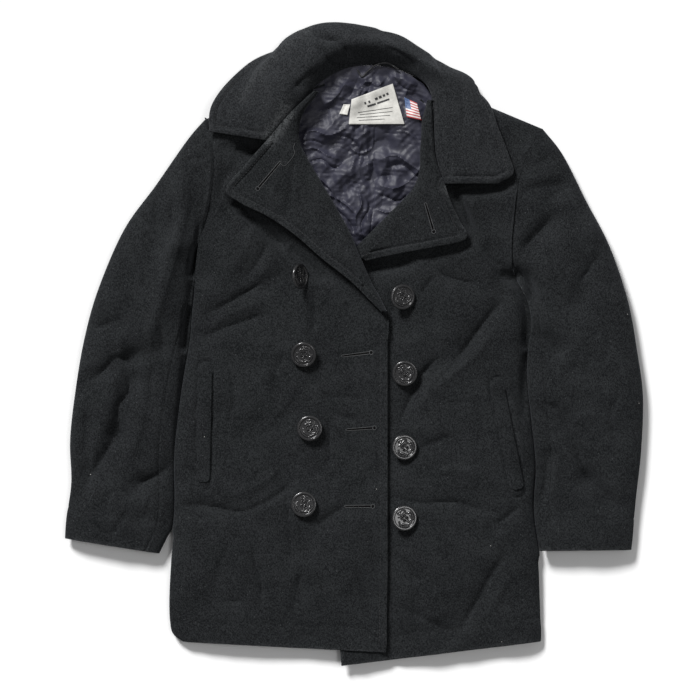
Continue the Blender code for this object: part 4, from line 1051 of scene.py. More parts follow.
def wall(points, thickness, free=None, seam=None, behind=0.0, down=False, seams=(), rows=slice(None),
         columns=slice(None)):
    """Points and quads of a closed cloth wall behind a grid, or some rows and columns of it. Free edges close
    in a round, seams sink. seams lists edges, their first and last point, and how the seam's plane lies."""
    normals = grid_normals(points)
    flip = (normals[..., 2].sum() > 0) == down
    if flip:
        normals = -normals
    for side, first, last, kind in seams:
        if side == "bottom":
            normals[0] = normals[1]
        whole = slice(None)
        edge = {"start": (whole, 0), "end": (whole, -1), "bottom": (0, whole), "top": (-1, whole)}[side]
        squared = square_to_seam(normals[edge], points[edge], kind)
        normals[edge][first:last] = squared[first:last]
    near, far = np.full(points.shape[:2], behind), np.full(points.shape[:2], behind + thickness)
    if free is not None:
        turn = np.minimum(rounded(free, thickness / 2), thickness / 2 - 0.05)
        near, far = near + turn, far - turn
    if seam is not None:
        near = near + np.minimum(rounded(seam, SEAM_ROUND), SEAM_ROUND - 0.05)
    points, normals, near, far = (part[rows, columns] for part in (points, normals, near, far))
    rows, columns = points.shape[:2]
    outer = (points - near[..., None] * normals).reshape(-1, 3)
    inner = (points - far[..., None] * normals).reshape(-1, 3)
    count = rows * columns
    number = np.arange(count).reshape(rows, columns)
    rim = np.concatenate([number[0], number[1:, -1], number[-1, -2::-1], number[-2:0:-1, 0]])
    after = np.roll(rim, -1)
    sides = np.stack([rim, rim + count, after + count, after], 1)
    faces = np.concatenate([
        grid_quads(rows, columns, 0, flip),
        grid_quads(rows, columns, count, not flip),
        sides[:, ::-1] if flip else sides,
    ])
    return np.concatenate([outer, inner]), faces


def add_mesh(name, points, faces, look, sharp=55, **values):
    """An object from points in millimetres, shaded smooth, with named values at its points."""
    mesh = bpy.data.meshes.new(name)
    points = np.asarray(points, np.float32) * np.float32(MM)
    faces = np.asarray(faces, np.int32)
    sides = faces.shape[1]
    mesh.vertices.add(len(points))
    mesh.vertices.foreach_set("co", points.ravel())
    mesh.loops.add(faces.size)
    mesh.loops.foreach_set("vertex_index", faces.ravel())
    mesh.polygons.add(len(faces))
    mesh.polygons.foreach_set("loop_start", np.arange(0, faces.size, sides, dtype=np.int32))
    mesh.update(calc_edges=True)
    mesh.shade_smooth()
    mesh.set_sharp_from_angle(angle=math.radians(sharp))
    for label, value in values.items():
        data = mesh.attributes.new(label, "FLOAT", "POINT").data
        data.foreach_set("value", np.asarray(value, np.float32).ravel())
    mesh.materials.append(look)
    made = bpy.data.objects.new(name, mesh)
    bpy.context.scene.collection.objects.link(made)
    return made


def kept(made, slot, *nodes):
    """Puts a piece on the root and hides the solids that it stands for. slot, its finish, is not used."""
    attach(made, "root")
    if nodes:
        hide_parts(*nodes)
    return made


def cloth(name, points, look, wear=None, thickness=CLOTH, **how):
    """A cloth wall as a piece that stands for the solid of its name, with its wear at each point."""
    shape, faces = wall(points, thickness, **how)
    shape[:, 2] = np.maximum(shape[:, 2], 0.0)
    rows, columns = how.get("rows", slice(None)), how.get("columns", slice(None))
    wear = np.zeros(points.shape[:2]) if wear is None else wear
    wear = wear[rows, columns].ravel()
    made = add_mesh(f"{name}_cloth", shape, faces, look, wear=np.concatenate([wear, wear * 0.3]))
    return kept(made, "wool", name)


def surface(points):
    """A tree that finds places on the outer face of a grid."""
    rows, columns = points.shape[:2]
    quads = grid_quads(rows, columns, 0, False)
    return BVHTree.FromPolygons(points.reshape(-1, 3).tolist(), quads.tolist())


def seat(trees, x, y):
    """Height and upward normal of the highest face under a point in plan."""
    hits = [tree.ray_cast(Vector((x, y, OVERHEAD)), Vector((0, 0, -1))) for tree in trees]
    hits = [hit for hit in hits if hit[0]] or [tree.find_nearest(Vector((x, y, CROWN))) for tree in trees]
    found = max(hits, key=lambda hit: hit[0].z)
    normal = found[1] if found[1].z > 0 else -found[1]
    return found[0].z, normal


def armhole_height(shares, crown, fold, fullness=ARM_FULLNESS):
    """Height of the upper half of a flattened sleeve at shares of its width."""
    return fold + (crown - fold) * (1 - np.abs(2 * shares - 1) ** fullness) ** (1 / fullness)


def side_fold_height(y):
    """Height of the side fold, which is lower at the hem."""
    return SIDE_FOLD - HEM_FOLD_DROP * (1 - smooth(y, HEM_Y, HEM_Y + HEM_RISE))


def turn_shares(first, last, count):
    """Shares across a flattened tube, closer together at its folds, between two angles of its half turn."""
    return (1 - np.cos(np.linspace(first, last, count))) / 2


def draw_in(points, column, distance):
    """Moves the first or last column of a grid towards its neighbour."""
    inward = points[:, 1 if column == 0 else -2] - points[:, column]
    points[:, column] += unit(inward) * distance


def fold_lines(side):
    """Side fold of the body and inner fold of the sleeve, moved together in plan where they lie close."""
    body, sleeve = traced(side["outline"], 600), traced(side["sleeve"], 400)
    lines = []
    for line, other in ((body[:, 2:4], sleeve[:, 3:5]), (sleeve[:, 3:5], body[:, 2:4])):
        away, place = nearest(line, other)
        move = np.clip((away - FOLD_GAP) / 2, 0, FOLD_MOVE) * (1 - smooth(away, *FOLD_APART))
        move = move * smooth(line[:, 1], side["gap_end"] - GAP_FADE, side["gap_end"])
        lines.append(line + unit(place - line) * move[:, None])
    body[:, 2:4], sleeve[:, 3:5] = lines
    return body, sleeve


def front_plan(side):
    """Rows of a front from the hem to the shoulder: inner edge, outer edge, and their armhole shares."""
    dense, _ = fold_lines(side)
    below = respaced(dense, 0, stations(abs(dense[-1, 1] - dense[0, 1]), STEP))
    shares = turn_shares(math.pi, 0, 104)[1:]
    rows = np.vstack([below, np.hstack([curve(side["roll"], shares), curve(side["armhole"], shares)])])
    return rows[:, :2], rows[:, 2:], np.concatenate([np.ones(len(below)), shares]), len(below)


def lapel_outline(side):
    """Outline in plan of what the lapel and collar cover of a front."""
    covered = traced(side["lapel"], 40)
    return np.vstack([covered[:, 2:4], [side["neck"]], covered[::-1, :2]])


def front_detail(x, y, side):
    """Creases and waves of a front in plan."""
    detail = CREASE_DEPTH * crease_height(CREASES, x, y) - CREASED_SHARE * fold_height(FOLDS, x, y)
    detail = detail + waves(x, y, FRONT_WAVES) + ridges(x, y, *FRONT_RIDGES)
    covered = polygon_depth(x, y, lapel_outline(side))
    under = smooth(covered, *COVERED_FADE)
    detail = detail * (1 - under) + under * (np.minimum(detail, 0) * COVERED_SHARE - COVERED_DROP)
    away, _ = line_distance(x, y, side["pocket"])
    detail = detail + groove(away - POCKET_WIDTH / 2, *POCKET_GROOVE)
    if side["away"] > 0:
        detail = detail + groove(x - OVERLAP_END, *OVERLAP_GROOVE) * (1 - smooth(y, 40, 70))
    return detail + groove(-covered, *LAPEL_GROOVE) * (1 - under)


def front_grid(side):
    """Outer face of a front, hem row first, inner edge to side, and how many rows are below the armhole."""
    inner, outer, shares, count = front_plan(side)
    direction = unit(outer - inner)
    tangent = unit(np.gradient(inner, axis=0))
    sine = np.abs(direction[:, 0] * tangent[:, 1] - direction[:, 1] * tangent[:, 0])
    inset = ROLL_SPAN / np.maximum(sine, 0.6) * smooth(inner[:, 1], side["break_y"] - 10, side["break_y"])
    inner = inner + direction * inset[:, None]
    width = np.linalg.norm(outer - inner, axis=1)
    share = stations(float(np.median(width)), STEP)
    plan = inner[:, None] + (outer - inner)[:, None] * share[None, :, None]
    x, y = plan[..., 0], plan[..., 1]
    from_side = np.linalg.norm(outer[:, None] - plan, axis=2)
    fold = side_fold_height(outer[:, 1:])
    arm = armhole_height(shares, side["sleeve"][0][5], SIDE_FOLD)[:, None]
    edge = np.where(np.arange(len(shares))[:, None] < count, fold, arm) + SEAM_GAP / 2
    armhole = smooth(outer[:, 1:], outer[count - 1, 1] - 4, outer[count - 1, 1] + 26)
    low, high = rounding(from_side, SIDE_ROLL, side["fullness"]), smooth(from_side, 0, ARMHOLE_BLEND)
    z = edge + (chest_height(x, y, side) - edge) * (low * (1 - armhole) + high * armhole)
    z[-1] = SIDE_FOLD + SEAM_GAP / 2
    shoulder = np.where(y > SHOULDER_START, smooth(shoulder_distance(x, y, side), 0, 14), 1)
    z = z + front_detail(x, y, side) * smooth(from_side, 0, 16) * shoulder
    return sunk(np.dstack([x, y, z]), FRONT_LOWEST, HOLLOWS), count


def floor_rise(shares):
    """Share of the fold's height that the under half of a flattened sleeve has across its width."""
    return np.clip((np.abs(2 * shares - 1) - 0.75) / 0.25, 0, 1) ** 3


def sleeve_half(side, shares, above, step):
    """Half of a sleeve as rings from the armhole to the cuff, at shares from the outer to the inner fold."""
    last = len(side["sleeve"]) - 1
    dense = np.hstack([np.linspace(0, last, 400)[:, None], fold_lines(side)[1]])
    rows = respaced(dense, 2, stations(lengths_along(dense[:, 2:4])[-1], step))
    along, bow, outer, inner = rows[:, 0], rows[:, 1], rows[:, 2:4], rows[:, 4:6]
    seam = curve(side["armhole"], shares)
    ends = curve(side["armhole"], [0.0, 1.0])
    bowed = seam - ends[0] - (ends[1] - ends[0]) * shares[:, None]
    plan = outer[:, None] + (inner - outer)[:, None] * shares[None, :, None] + bow[:, None, None] * bowed
    crown, fold = rows[:, 6:7], rows[:, 7:8]
    x, y = plan[..., 0], plan[..., 1]

    def past(rings):
        """0 at the armhole, 1 from a number of the table's rings on."""
        return smooth(along, 0, rings)[:, None]

    fold = fold + side["inner_rise"] * smooth(shares, 0.6, 0.95)[None] * past(last / 10)
    if above:
        fullness = np.where(shares > 0.5, side["inner_fullness"], ARM_FULLNESS)
        blend = past(last / 4)
        z = armhole_height(shares[None], crown, fold) * (1 - blend)
        z = z + armhole_height(shares[None], crown + SLEEVE_LIFT, fold, fullness) * blend
        inside = shares * (1 - shares)
        folds = np.clip(4 * inside, 0, 1) ** 0.5 * past(last / 7) * fold_height(SLEEVE_FOLDS, x, y)
        detail = waves(x, y, SLEEVE_WAVES) + ridges(x, y, *SLEEVE_RIDGES)
        detail = detail + CREASE_DEPTH * crease_height(SLEEVE_CREASES, x, y)
        z = z + SLEEVE_FOLD_DEPTH * folds + np.clip(6 * inside, 0, 1) * past(last / 24) * detail
    else:
        z = fold * floor_rise(shares)[None]
    outward = np.gradient(seam, axis=0)
    outward = unit(np.stack([-outward[:, 1], outward[:, 0]], 1))
    turn = 1 if seam[-1, 1] < seam[0, 1] else -1
    plan[0] = plan[0] + outward * side["away"] * SEAM_GAP * turn
    return sunk(np.dstack([plan, z]), SLEEVE_LOWEST if above else 0.0, SLEEVE_HOLLOWS)


def back_grid(side):
    """Under face of half of the back, hem row first, side to centre seam, and the rows below the armhole."""
    dense, _ = fold_lines(side)
    below = respaced(dense, 2, stations(abs(dense[-1, 3] - dense[0, 3]), BACK_STEP))
    shares = turn_shares(math.pi, 0, 40)[1:]
    count = len(below)
    outer = np.vstack([below[:, 2:], curve(side["armhole"], shares)])
    neck_line, hem = np.asarray(side["neck_line"], float), np.asarray(side["centre_hem"], float)
    centre_seam = neck_line[-1] - hem
    share = (below[:, 3] - hem[1]) / centre_seam[1]
    share = np.maximum(np.concatenate([share, share[-1] + (1 - share[-1]) * (1 - shares)]), 0)
    centre = hem + centre_seam * share[:, None]
    length = np.linalg.norm(centre - outer, axis=1, keepdims=True)
    inner = np.linspace(0, 1, 15)[1:]
    distance = np.hstack([np.repeat(np.asarray(BACK_STEPS)[None], len(outer), axis=0),
                          BACK_STEPS[-1] + (length - BACK_STEPS[-1]) * inner])
    plan = outer[:, None] + ((centre - outer) / length)[:, None] * distance[:, :, None]
    columns = distance.shape[1]
    rows = np.arange(len(outer))
    blend = smooth(rows, len(outer) - 8, len(outer) - 1)[:, None, None]
    plan = plan * (1 - blend) + traced(neck_line, columns)[None] * blend
    plan[:, 0] = outer
    turned = (1 - np.clip(distance / BACK_ROLL, 0, 1)) ** 2.4
    lifted = np.zeros(len(outer))
    lifted[count:] = smooth(1 - shares, 0, 0.15)
    z = (side_fold_height(plan[..., 1]) - SEAM_GAP / 2) * turned * (1 - lifted[:, None])
    z[count:, 0] = SIDE_FOLD * floor_rise(shares)
    shoulder = int(np.sum(np.linspace(0, len(neck_line) - 1, columns) <= NECK_POINT))
    rise = smooth(rows, len(outer) - 9, len(outer) - 1)[:, None] ** 3
    z[:, :shoulder] = np.maximum(z[:, :shoulder], rise * (SIDE_FOLD - SEAM_GAP / 2))
    return sunk(np.dstack([plan, z]), 0.0, HOLLOWS), count, shoulder


def collar_at(sections):
    """Sections of the collar read smoothly: neck seam, heading, reaches and heights."""
    table = curve(numbered(COLLAR), sections)
    reach = np.hstack([np.zeros((len(table), 1)), table[:, 4::2]])
    height = np.hstack([table[:, 2:3], table[:, 5::2]])
    return table[:, :3], np.radians(table[:, 3]), reach, height


def collar_grid():
    """Outer face of the collar: a row for each section, neck seam to free edge."""
    last = len(COLLAR) - 1
    ends = np.asarray(COLLAR_END_STEPS)
    sections = np.concatenate([ends, np.linspace(0.17, last - 0.17, 170), last - ends[::-1]])
    near_edge = 4 - 0.045 * np.asarray(COLLAR_EDGE_STEPS)
    across = np.unique(np.concatenate([np.linspace(0, 4, 46), near_edge]))
    rows = []
    for start, angle, reaches, heights in zip(*collar_at(sections)):
        profile = curve(numbered(np.stack([reaches, heights], 1)), across)
        plan = start[:2] + profile[:, :1] * (math.cos(angle), math.sin(angle))
        rows.append(np.column_stack([plan, np.maximum(profile[:, 1], FLOOR_GAP)]))
    return np.asarray(rows)


def facing_grid(side):
    """Outer face of a facing, break row first, from its return inside the front to its outer edge."""
    strip, dense = side["strip"], traced(side["lapel"], 500)
    lapel = respaced(dense, 2, stations(lengths_along(dense[:, 2:4])[-1], LAPEL_STEP))
    count = len(lapel) - 1
    sections = np.linspace(strip[0][0], strip[-1][0], 46)
    roll = np.vstack([lapel[:-1, :2], curve(strip, sections)])
    seam = collar_at(sections)[0]
    edge = np.vstack([lapel[:-1, 2:4], seam[:, :2]])
    middle_lift = np.concatenate([lapel[:-1, 4], np.full(len(seam), lapel[-1, 4])])
    seam_lift = seam[:, 2] - chest_height(seam[:, 0], seam[:, 1], side) - LAPEL_STACK
    joined = smooth(np.arange(count), count - 16, count)
    edge_lift = np.concatenate([lapel[:-1, 5] * (1 - joined) + seam_lift[0] * joined, seam_lift])
    width = np.linalg.norm(edge - roll, axis=1)
    outward = (edge - roll) / width[:, None]

    def chest_at(places):
        return chest_height(places[..., 0], places[..., 1], side)

    top = chest_at(roll + 8 * outward) + ROLL_HEIGHT
    turn, depth = np.asarray(FACING_ROLL).T
    outer_share = stations(FACING_WIDTH, FINE_STEP)[1:]
    rows = []
    for n in range(len(roll)):
        crest = min(CREST_DISTANCE, CREST_SHARE * width[n])
        places = roll[n] + outward[n] * np.where(turn <= 1, turn * crest, turn)[:, None]
        height = np.where(turn <= 1, top[n], chest_at(places) + ROLL_HEIGHT)
        rolled = traced(np.column_stack([places, height - depth]), 30)
        last = width[n] - (SEAM_GAP if n >= count else 0)
        places = roll[n] + outward[n] * (crest + (last - crest) * outer_share)[:, None]
        lifts = ((0, ROLL_HEIGHT - LAPEL_STACK), (0.5, middle_lift[n]), (1, edge_lift[n]))
        height = chest_at(places) + LAPEL_STACK + curve(lifts, outer_share)[:, 0]
        rows.append(np.vstack([rolled, np.column_stack([places, height])]))
    return np.asarray(rows), count


def lining_grid():
    """Face of the lining in the neck, lowest row first."""
    rows = respaced(traced(LINING, 400), 0, np.linspace(0, 1, 180))
    count, share = len(rows), np.linspace(0, 1, 146)
    plan = rows[:, None, :2] + (rows[:, None, 2:4] - rows[:, None, :2]) * share[None, :, None]
    steps = np.linspace(0, 1, LINING_TOP_ROWS + 1)[1:, None, None]
    plan = np.concatenate([plan, plan[-1:] * (1 - steps) + traced(LINING_TOP, len(share))[None] * steps])
    height = np.append(rows[:, 4], np.full(LINING_TOP_ROWS, rows[-1, 4]))[:, None]
    x, y = plan[..., 0], plan[..., 1]
    across = np.sin(np.pi * share)[None] ** 0.5
    upward = np.append(smooth(np.arange(count), 0, count / 6), np.linspace(1, 0.3, LINING_TOP_ROWS))[:, None]
    relief = sum(amount * facets(x, y, size, seed) for amount, size, seed in LINING_FACETS)
    for amount, length, turn, seed in LINING_PLEATS:
        relief = relief + amount * pleats(x, y, length, turn, seed)
    away, _ = line_distance(x, y, traced(LINING_SEAM, 40))
    relief = relief - LINING_SEAM_DEPTH * np.exp(-away / LINING_SEAM_WIDTH)
    folds = fold_height(LINING_FOLDS, x, y) + LINING_CREASE_DEPTH * crease_height(LINING_CREASES, x, y)
    z = height + across * upward * (folds + relief)
    lowest = np.maximum(height - LINING_DROP, LINING_LOWEST + 0.3 * relief)
    return np.dstack([x, y, np.maximum(z, lowest)])


def set_inputs(tree, made, links):
    """Sets or links inputs of a shader node, each from a value or another node's output."""
    for label, value in links.items():
        if isinstance(value, bpy.types.NodeSocket):
            tree.links.new(value, made.inputs[label])
        else:
            made.inputs[label].default_value = value


def node(tree, kind, links=None, **settings):
    """A shader node with its settings and its inputs."""
    made = tree.nodes.new(kind)
    for label, value in settings.items():
        setattr(made, label, value)
    set_inputs(tree, made, links or {})
    return made


def maths(tree, operation, *values, **settings):
    """Output of a sum on outputs and numbers."""
    return node(tree, "ShaderNodeMath", dict(enumerate(values)), operation=operation, **settings).outputs[0]


def noise(tree, place, scale, detail=2.0, rough=0.5):
    """Noise between 0 and 1 at a number of waves to the metre."""
    links = {"Vector": place, "Scale": scale, "Detail": detail, "Roughness": rough}
    return node(tree, "ShaderNodeTexNoise", links).outputs["Fac"]


def sum_of(tree, *terms):
    """Weighted sum of outputs."""
    total = None
    for value, weight in terms:
        part = maths(tree, "MULTIPLY", value, weight)
        total = part if total is None else maths(tree, "ADD", total, part)
    return total


def ramp(tree, value, *stops):
    """Colour of a value between stops of position and colour."""
    made = node(tree, "ShaderNodeValToRGB", {"Fac": value})
    elements = made.color_ramp.elements
    while len(elements) < len(stops):
        elements.new(0.5)
    for element, (position, colour) in zip(elements, stops):
        element.position = position
        element.color = (*colour, 1) if hasattr(colour, "__len__") else (colour, colour, colour, 1)
    return made.outputs["Color"]


def mixed(tree, share, first, second):
    """Colour mixed by a share from two, each a colour or an output."""
    links = {n: value if isinstance(value, bpy.types.NodeSocket) else (*value, 1)
             for n, value in ((6, first), (7, second))}
    return node(tree, "ShaderNodeMix", {"Factor": share, **links}, data_type="RGBA").outputs[2]


def bumped(tree, height, strength, distance, under=None):
    """Normal of a bump, over another bump where one is given."""
    links = {"Height": height, "Strength": strength, "Distance": distance}
    if under is not None:
        links["Normal"] = under
    return node(tree, "ShaderNodeBump", links).outputs["Normal"]


def new_material(name):
    """An empty Principled material: its tree, its shader and the place in the object's own axes."""
    made = bpy.data.materials.new(name)
    made.use_nodes = True
    tree = made.node_tree
    shader = tree.nodes["Principled BSDF"]
    return made, tree, shader, node(tree, "ShaderNodeTexCoord").outputs["Object"]


def specks(tree, place, scale, size, rarity):
    """1 on small round specks, in those cells whose random value passes the rarity."""
    cells = node(tree, "ShaderNodeTexVoronoi", {"Vector": place, "Scale": scale}).outputs
    chosen = node(tree, "ShaderNodeSeparateColor", {"Color": cells["Color"]}).outputs[0]
    near = maths(tree, "LESS_THAN", cells["Distance"], size)
    return maths(tree, "MULTIPLY", near, maths(tree, "GREATER_THAN", chosen, rarity))


def wool_material(name, dark, light, worn):
    """Napped melton: fibres, mottling, slow patches, worn edges, and a few specks of lint and pale hairs."""
    made, tree, shader, place = new_material(name)
    stretched = node(tree, "ShaderNodeMapping", {"Vector": place, "Scale": (1.0, 0.7, 1.0)}).outputs[0]
    fibres, mottling = noise(tree, stretched, 740, 3, 0.7), noise(tree, place, 260, 3, 0.6)
    patches = noise(tree, place, 32, 3)
    shade = sum_of(tree, (fibres, 0.74), (mottling, 0.14), (patches, 0.12))
    colour = ramp(tree, shade, (0.43, dark), (0.575, light))
    wear = node(tree, "ShaderNodeAttribute", attribute_name="wear").outputs["Fac"]
    nap = sum_of(tree, (fibres, 0.6), (mottling, 0.4))
    nap = node(tree, "ShaderNodeMapRange",
               {"Value": nap, "From Min": 0.40, "From Max": 0.62, "To Max": 1.5}).outputs[0]
    colour = mixed(tree, maths(tree, "MULTIPLY", wear, nap, use_clamp=True), colour, worn)
    colour = mixed(tree, specks(tree, place, *LINT_SPECKS), colour, LINT_COLOUR)
    hairs = maths(tree, "MULTIPLY", specks(tree, stretched, *HAIR_SPECKS), 0.5)
    colour = mixed(tree, hairs, colour, worn)
    normal = bumped(tree, fibres, 0.7, 0.0005, bumped(tree, mottling, 0.5, 0.0009))
    set_inputs(tree, shader, {
        "Base Color": colour, "Normal": normal, "Roughness": 0.95, "Specular IOR Level": 0.1,
        "Sheen Weight": 0.085, "Sheen Roughness": 0.45, "Sheen Tint": (0.85, 0.9, 1.0, 1),
    })
    return made


def satin_material(name):
    """Lining satin with a fine weave and uneven gloss."""
    made, tree, shader, place = new_material(name)
    stretched = node(tree, "ShaderNodeMapping", {"Vector": place, "Scale": (1, 0.2, 1)}).outputs[0]
    threads = noise(tree, stretched, 2600, 2)
    patches, fine = noise(tree, place, 60, 3), noise(tree, place, 320, 3)
    colour = ramp(tree, sum_of(tree, (patches, 0.6), (fine, 0.4)),
                  (0.3, (0.018, 0.018, 0.028)), (0.7, (0.033, 0.033, 0.052)))
    gloss = node(tree, "ShaderNodeMapRange", {"Value": patches, "To Min": 0.48, "To Max": 0.60}).outputs[0]
    set_inputs(tree, shader, {
        "Base Color": colour, "Normal": bumped(tree, threads, 0.2, 0.0002, bumped(tree, fine, 0.16, 0.0009)),
        "Roughness": gloss, "Specular IOR Level": 0.38,
        "Sheen Weight": 0.10, "Sheen Roughness": 0.3, "Sheen Tint": (0.75, 0.78, 1.0, 1),
    })
    return made


def plastic_material(name):
    """Glossy black moulded plastic with slight handling marks."""
    made, tree, shader, place = new_material(name)
    marks, dust = noise(tree, place, 420, 5, 0.65), noise(tree, place, 1800, 3)
    colour = ramp(tree, marks, (0.35, (0.010, 0.010, 0.011)), (0.75, (0.022, 0.022, 0.023)))
    gloss = node(tree, "ShaderNodeMapRange", {"Value": marks, "To Min": 0.16, "To Max": 0.34}).outputs[0]
    set_inputs(tree, shader, {
        "Base Color": colour, "Normal": bumped(tree, dust, 0.12, 0.0001), "Roughness": gloss,
        "Specular IOR Level": 0.6, "Coat Weight": 0.25, "Coat Roughness": 0.12,
    })
    return made


def woven_material(name, dark, light, roughness=0.6, shine=1.0):
    """Plain woven tape or thread with a visible weave."""
    made, tree, shader, place = new_material(name)
    weave = [node(tree, "ShaderNodeTexWave", {"Vector": place, "Scale": WEAVE_PITCH / 6.3, "Distortion": 0.6},
                  bands_direction=axis).outputs["Fac"] for axis in "XY"]
    spread = noise(tree, place, 300, 3)
    shade = sum_of(tree, (weave[0], 0.2), (weave[1], 0.2), (spread, 0.6))
    normal = bumped(tree, sum_of(tree, (weave[0], 0.5), (weave[1], 0.5)), 0.35, 0.0002)
    set_inputs(tree, shader, {
        "Base Color": ramp(tree, shade, (0.3, dark), (0.75, light)), "Normal": normal, "Roughness": roughness,
        "Specular IOR Level": 0.35 * shine, "Sheen Weight": 0.15 * shine, "Sheen Roughness": 0.4,
    })
    return made


def flag_material(name):
    """Woven stripes with a plain blue canton."""
    made, tree, shader, place = new_material(name)
    across, up = (node(tree, "ShaderNodeAttribute", attribute_name=label).outputs["Fac"] for label in "uv")
    stripe = maths(tree, "FRACT", maths(tree, "MULTIPLY", up, FLAG_STRIPES / 2))
    colour = mixed(tree, maths(tree, "LESS_THAN", stripe, 0.5), (0.60, 0.58, 0.56), (0.36, 0.045, 0.05))
    left = maths(tree, "LESS_THAN", across, 0.42)
    high = maths(tree, "GREATER_THAN", up, 6 / FLAG_STRIPES)
    spread = noise(tree, place, 700, 2)
    blue = ramp(tree, spread, (0.4, (0.03, 0.06, 0.16)), (0.7, (0.10, 0.16, 0.30)))
    set_inputs(tree, shader, {
        "Base Color": mixed(tree, maths(tree, "MULTIPLY", left, high), colour, blue), "Roughness": 0.5,
        "Normal": bumped(tree, spread, 0.3, 0.0002), "Sheen Weight": 0.1,
    })
    return made


def floor_material():
    """Matt white studio floor."""
    made, tree, shader, place = new_material("floor_paint")
    colour = ramp(tree, noise(tree, place, 3, 3), (0.3, 0.86), (0.7, 0.88))
    set_inputs(tree, shader, {"Base Color": colour, "Roughness": 0.9, "Specular IOR Level": 0.1})
    return made


def level_line(points, field, value, rows, backwards=False):
    """Places and upward normals on chosen rows of a grid where a field first passes a value from one end."""
    normals = grid_normals(points, upward=True)
    places, ups = [], []
    for n in rows:
        over = field[n] - value
        over = over[::-1] if backwards else over
        crossing = np.flatnonzero((over[:-1] < 0) & (over[1:] >= 0))
        if not len(crossing):
            continue
        k = crossing[0]
        at = k - over[k] / (over[k + 1] - over[k])
        at = len(over) - 1 - at if backwards else at
        low = min(int(at), len(over) - 2)
        for found, source in ((places, points), (ups, normals)):
            found.append(source[n, low] + (source[n, low + 1] - source[n, low]) * (at - low))
    return np.asarray(places), np.asarray(ups)


def tube_faces(rings, sides, start=0):
    """Quads of an open tube."""
    number = start + np.arange(rings * sides).reshape(rings, sides)
    a, b = number[:-1].ravel(), np.roll(number[:-1], -1, axis=1).ravel()
    d, c = number[1:].ravel(), np.roll(number[1:], -1, axis=1).ravel()
    return np.stack([a, b, c, d], 1)


def ring_about(side, up, sides, flat=1.0):
    """Points of a circle or of a flattened one, round the origin in the plane of two directions."""
    angles = (np.arange(sides) * 2 * math.pi / sides)[:, None]
    return side[..., None, :] * np.cos(angles) + up[..., None, :] * np.sin(angles) * flat


def stitched(name, lines, look):
    """Rows of stitches along lines of places and normals, each stitch a thread that dips at its ends."""
    shares, widths, heights = np.asarray(STITCH_FORM).T
    points, faces = [], []
    for places, ups in lines:
        path = lengths_along(places)
        for middle in np.arange(STITCH_PITCH, path[-1] - STITCH_PITCH, STITCH_PITCH):
            at = middle + shares * STITCH_LENGTH
            line = np.stack([np.interp(at, path, places[:, n]) for n in range(3)], 1)
            up = unit(np.asarray([np.interp(middle, path, ups[:, n]) for n in range(3)]))
            ring = ring_about(unit(np.cross(unit(line[-1] - line[0]), up)), up, STITCH_SIDES)
            line = line + up * (heights[:, None] * STITCH_RADIUS + STITCH_LIFT)
            faces.append(tube_faces(len(shares), STITCH_SIDES, len(points) * len(shares) * STITCH_SIDES))
            radii = (widths * STITCH_RADIUS)[:, None, None]
            points.append((line[:, None] + ring[None] * radii).reshape(-1, 3))
    return kept(add_mesh(name, np.concatenate(points), np.concatenate(faces), look), "wool")


def rope_mesh(name, line, ups, radius, look, sides=12, strands=0, turn=0.0, closed=False, flat=1.0):
    """A tube along a line, with twisted strands where it has any, thin at its ends or closed to a loop."""
    run = np.roll(line, -1, axis=0) - np.roll(line, 1, axis=0) if closed else np.gradient(line, axis=0)
    tangent = unit(run)
    side = unit(np.cross(tangent, ups))
    ring = ring_about(side, np.cross(side, tangent), sides, flat)
    swell = np.ones((len(line), sides))
    if strands:
        angles = np.arange(sides) * 2 * math.pi / sides
        swell = 0.86 + 0.14 * np.abs(np.cos(strands * (angles - lengths_along(line)[:, None] * turn) / 2))
    thickness = np.full(len(line), radius)
    if not closed:
        thickness[[0, -1]] *= 0.25
        thickness[[1, -2]] *= 0.8
    points = (line[:, None] + ring * (swell * thickness[:, None])[..., None]).reshape(-1, 3)
    faces = tube_faces(len(line), sides)
    if closed:
        first = np.arange(sides)
        last = (len(line) - 1) * sides + first
        faces = np.vstack([faces, np.stack([last, np.roll(last, -1), np.roll(first, -1), first], 1)])
    return add_mesh(name, points, faces, look)


def on_surface(tree, plan, lift):
    """Places over a surface and its upward normals at points in plan."""
    found = [seat([tree], x, y) for x, y in plan]
    ups = np.asarray([tuple(normal) for _, normal in found])
    places = np.asarray([(x, y, z) for (x, y), (z, _) in zip(plan, found)])
    return places + ups * lift, ups


def heading(start, end):
    """Length of a straight run in plan, its direction and the direction across it."""
    step = np.asarray(end, float) - np.asarray(start, float)
    length = math.hypot(*step)
    along = step / length
    return length, along, np.asarray((-along[1], along[0]))


def keyhole(eye, end):
    """Closed outline in plan of a keyhole buttonhole's thread."""
    length, along, across = heading(eye, end)
    turn = np.radians(np.linspace(330, 30, 17))
    ring = [(EYE_RADIUS * math.cos(a), -EYE_RADIUS * math.sin(a)) for a in turn]
    run = np.linspace(2.3, length - 1.2, 26)
    outline = [(s, 1.6 - 0.4 * s / length) for s in run] + [(length + 0.3, 0.0)]
    outline += [(s, 0.4 * s / length - 1.6) for s in run[::-1]] + [(x, y) for x, y in ring if x < 1.7]
    return np.asarray([np.asarray(eye) + along * s + across * w for s, w in outline])


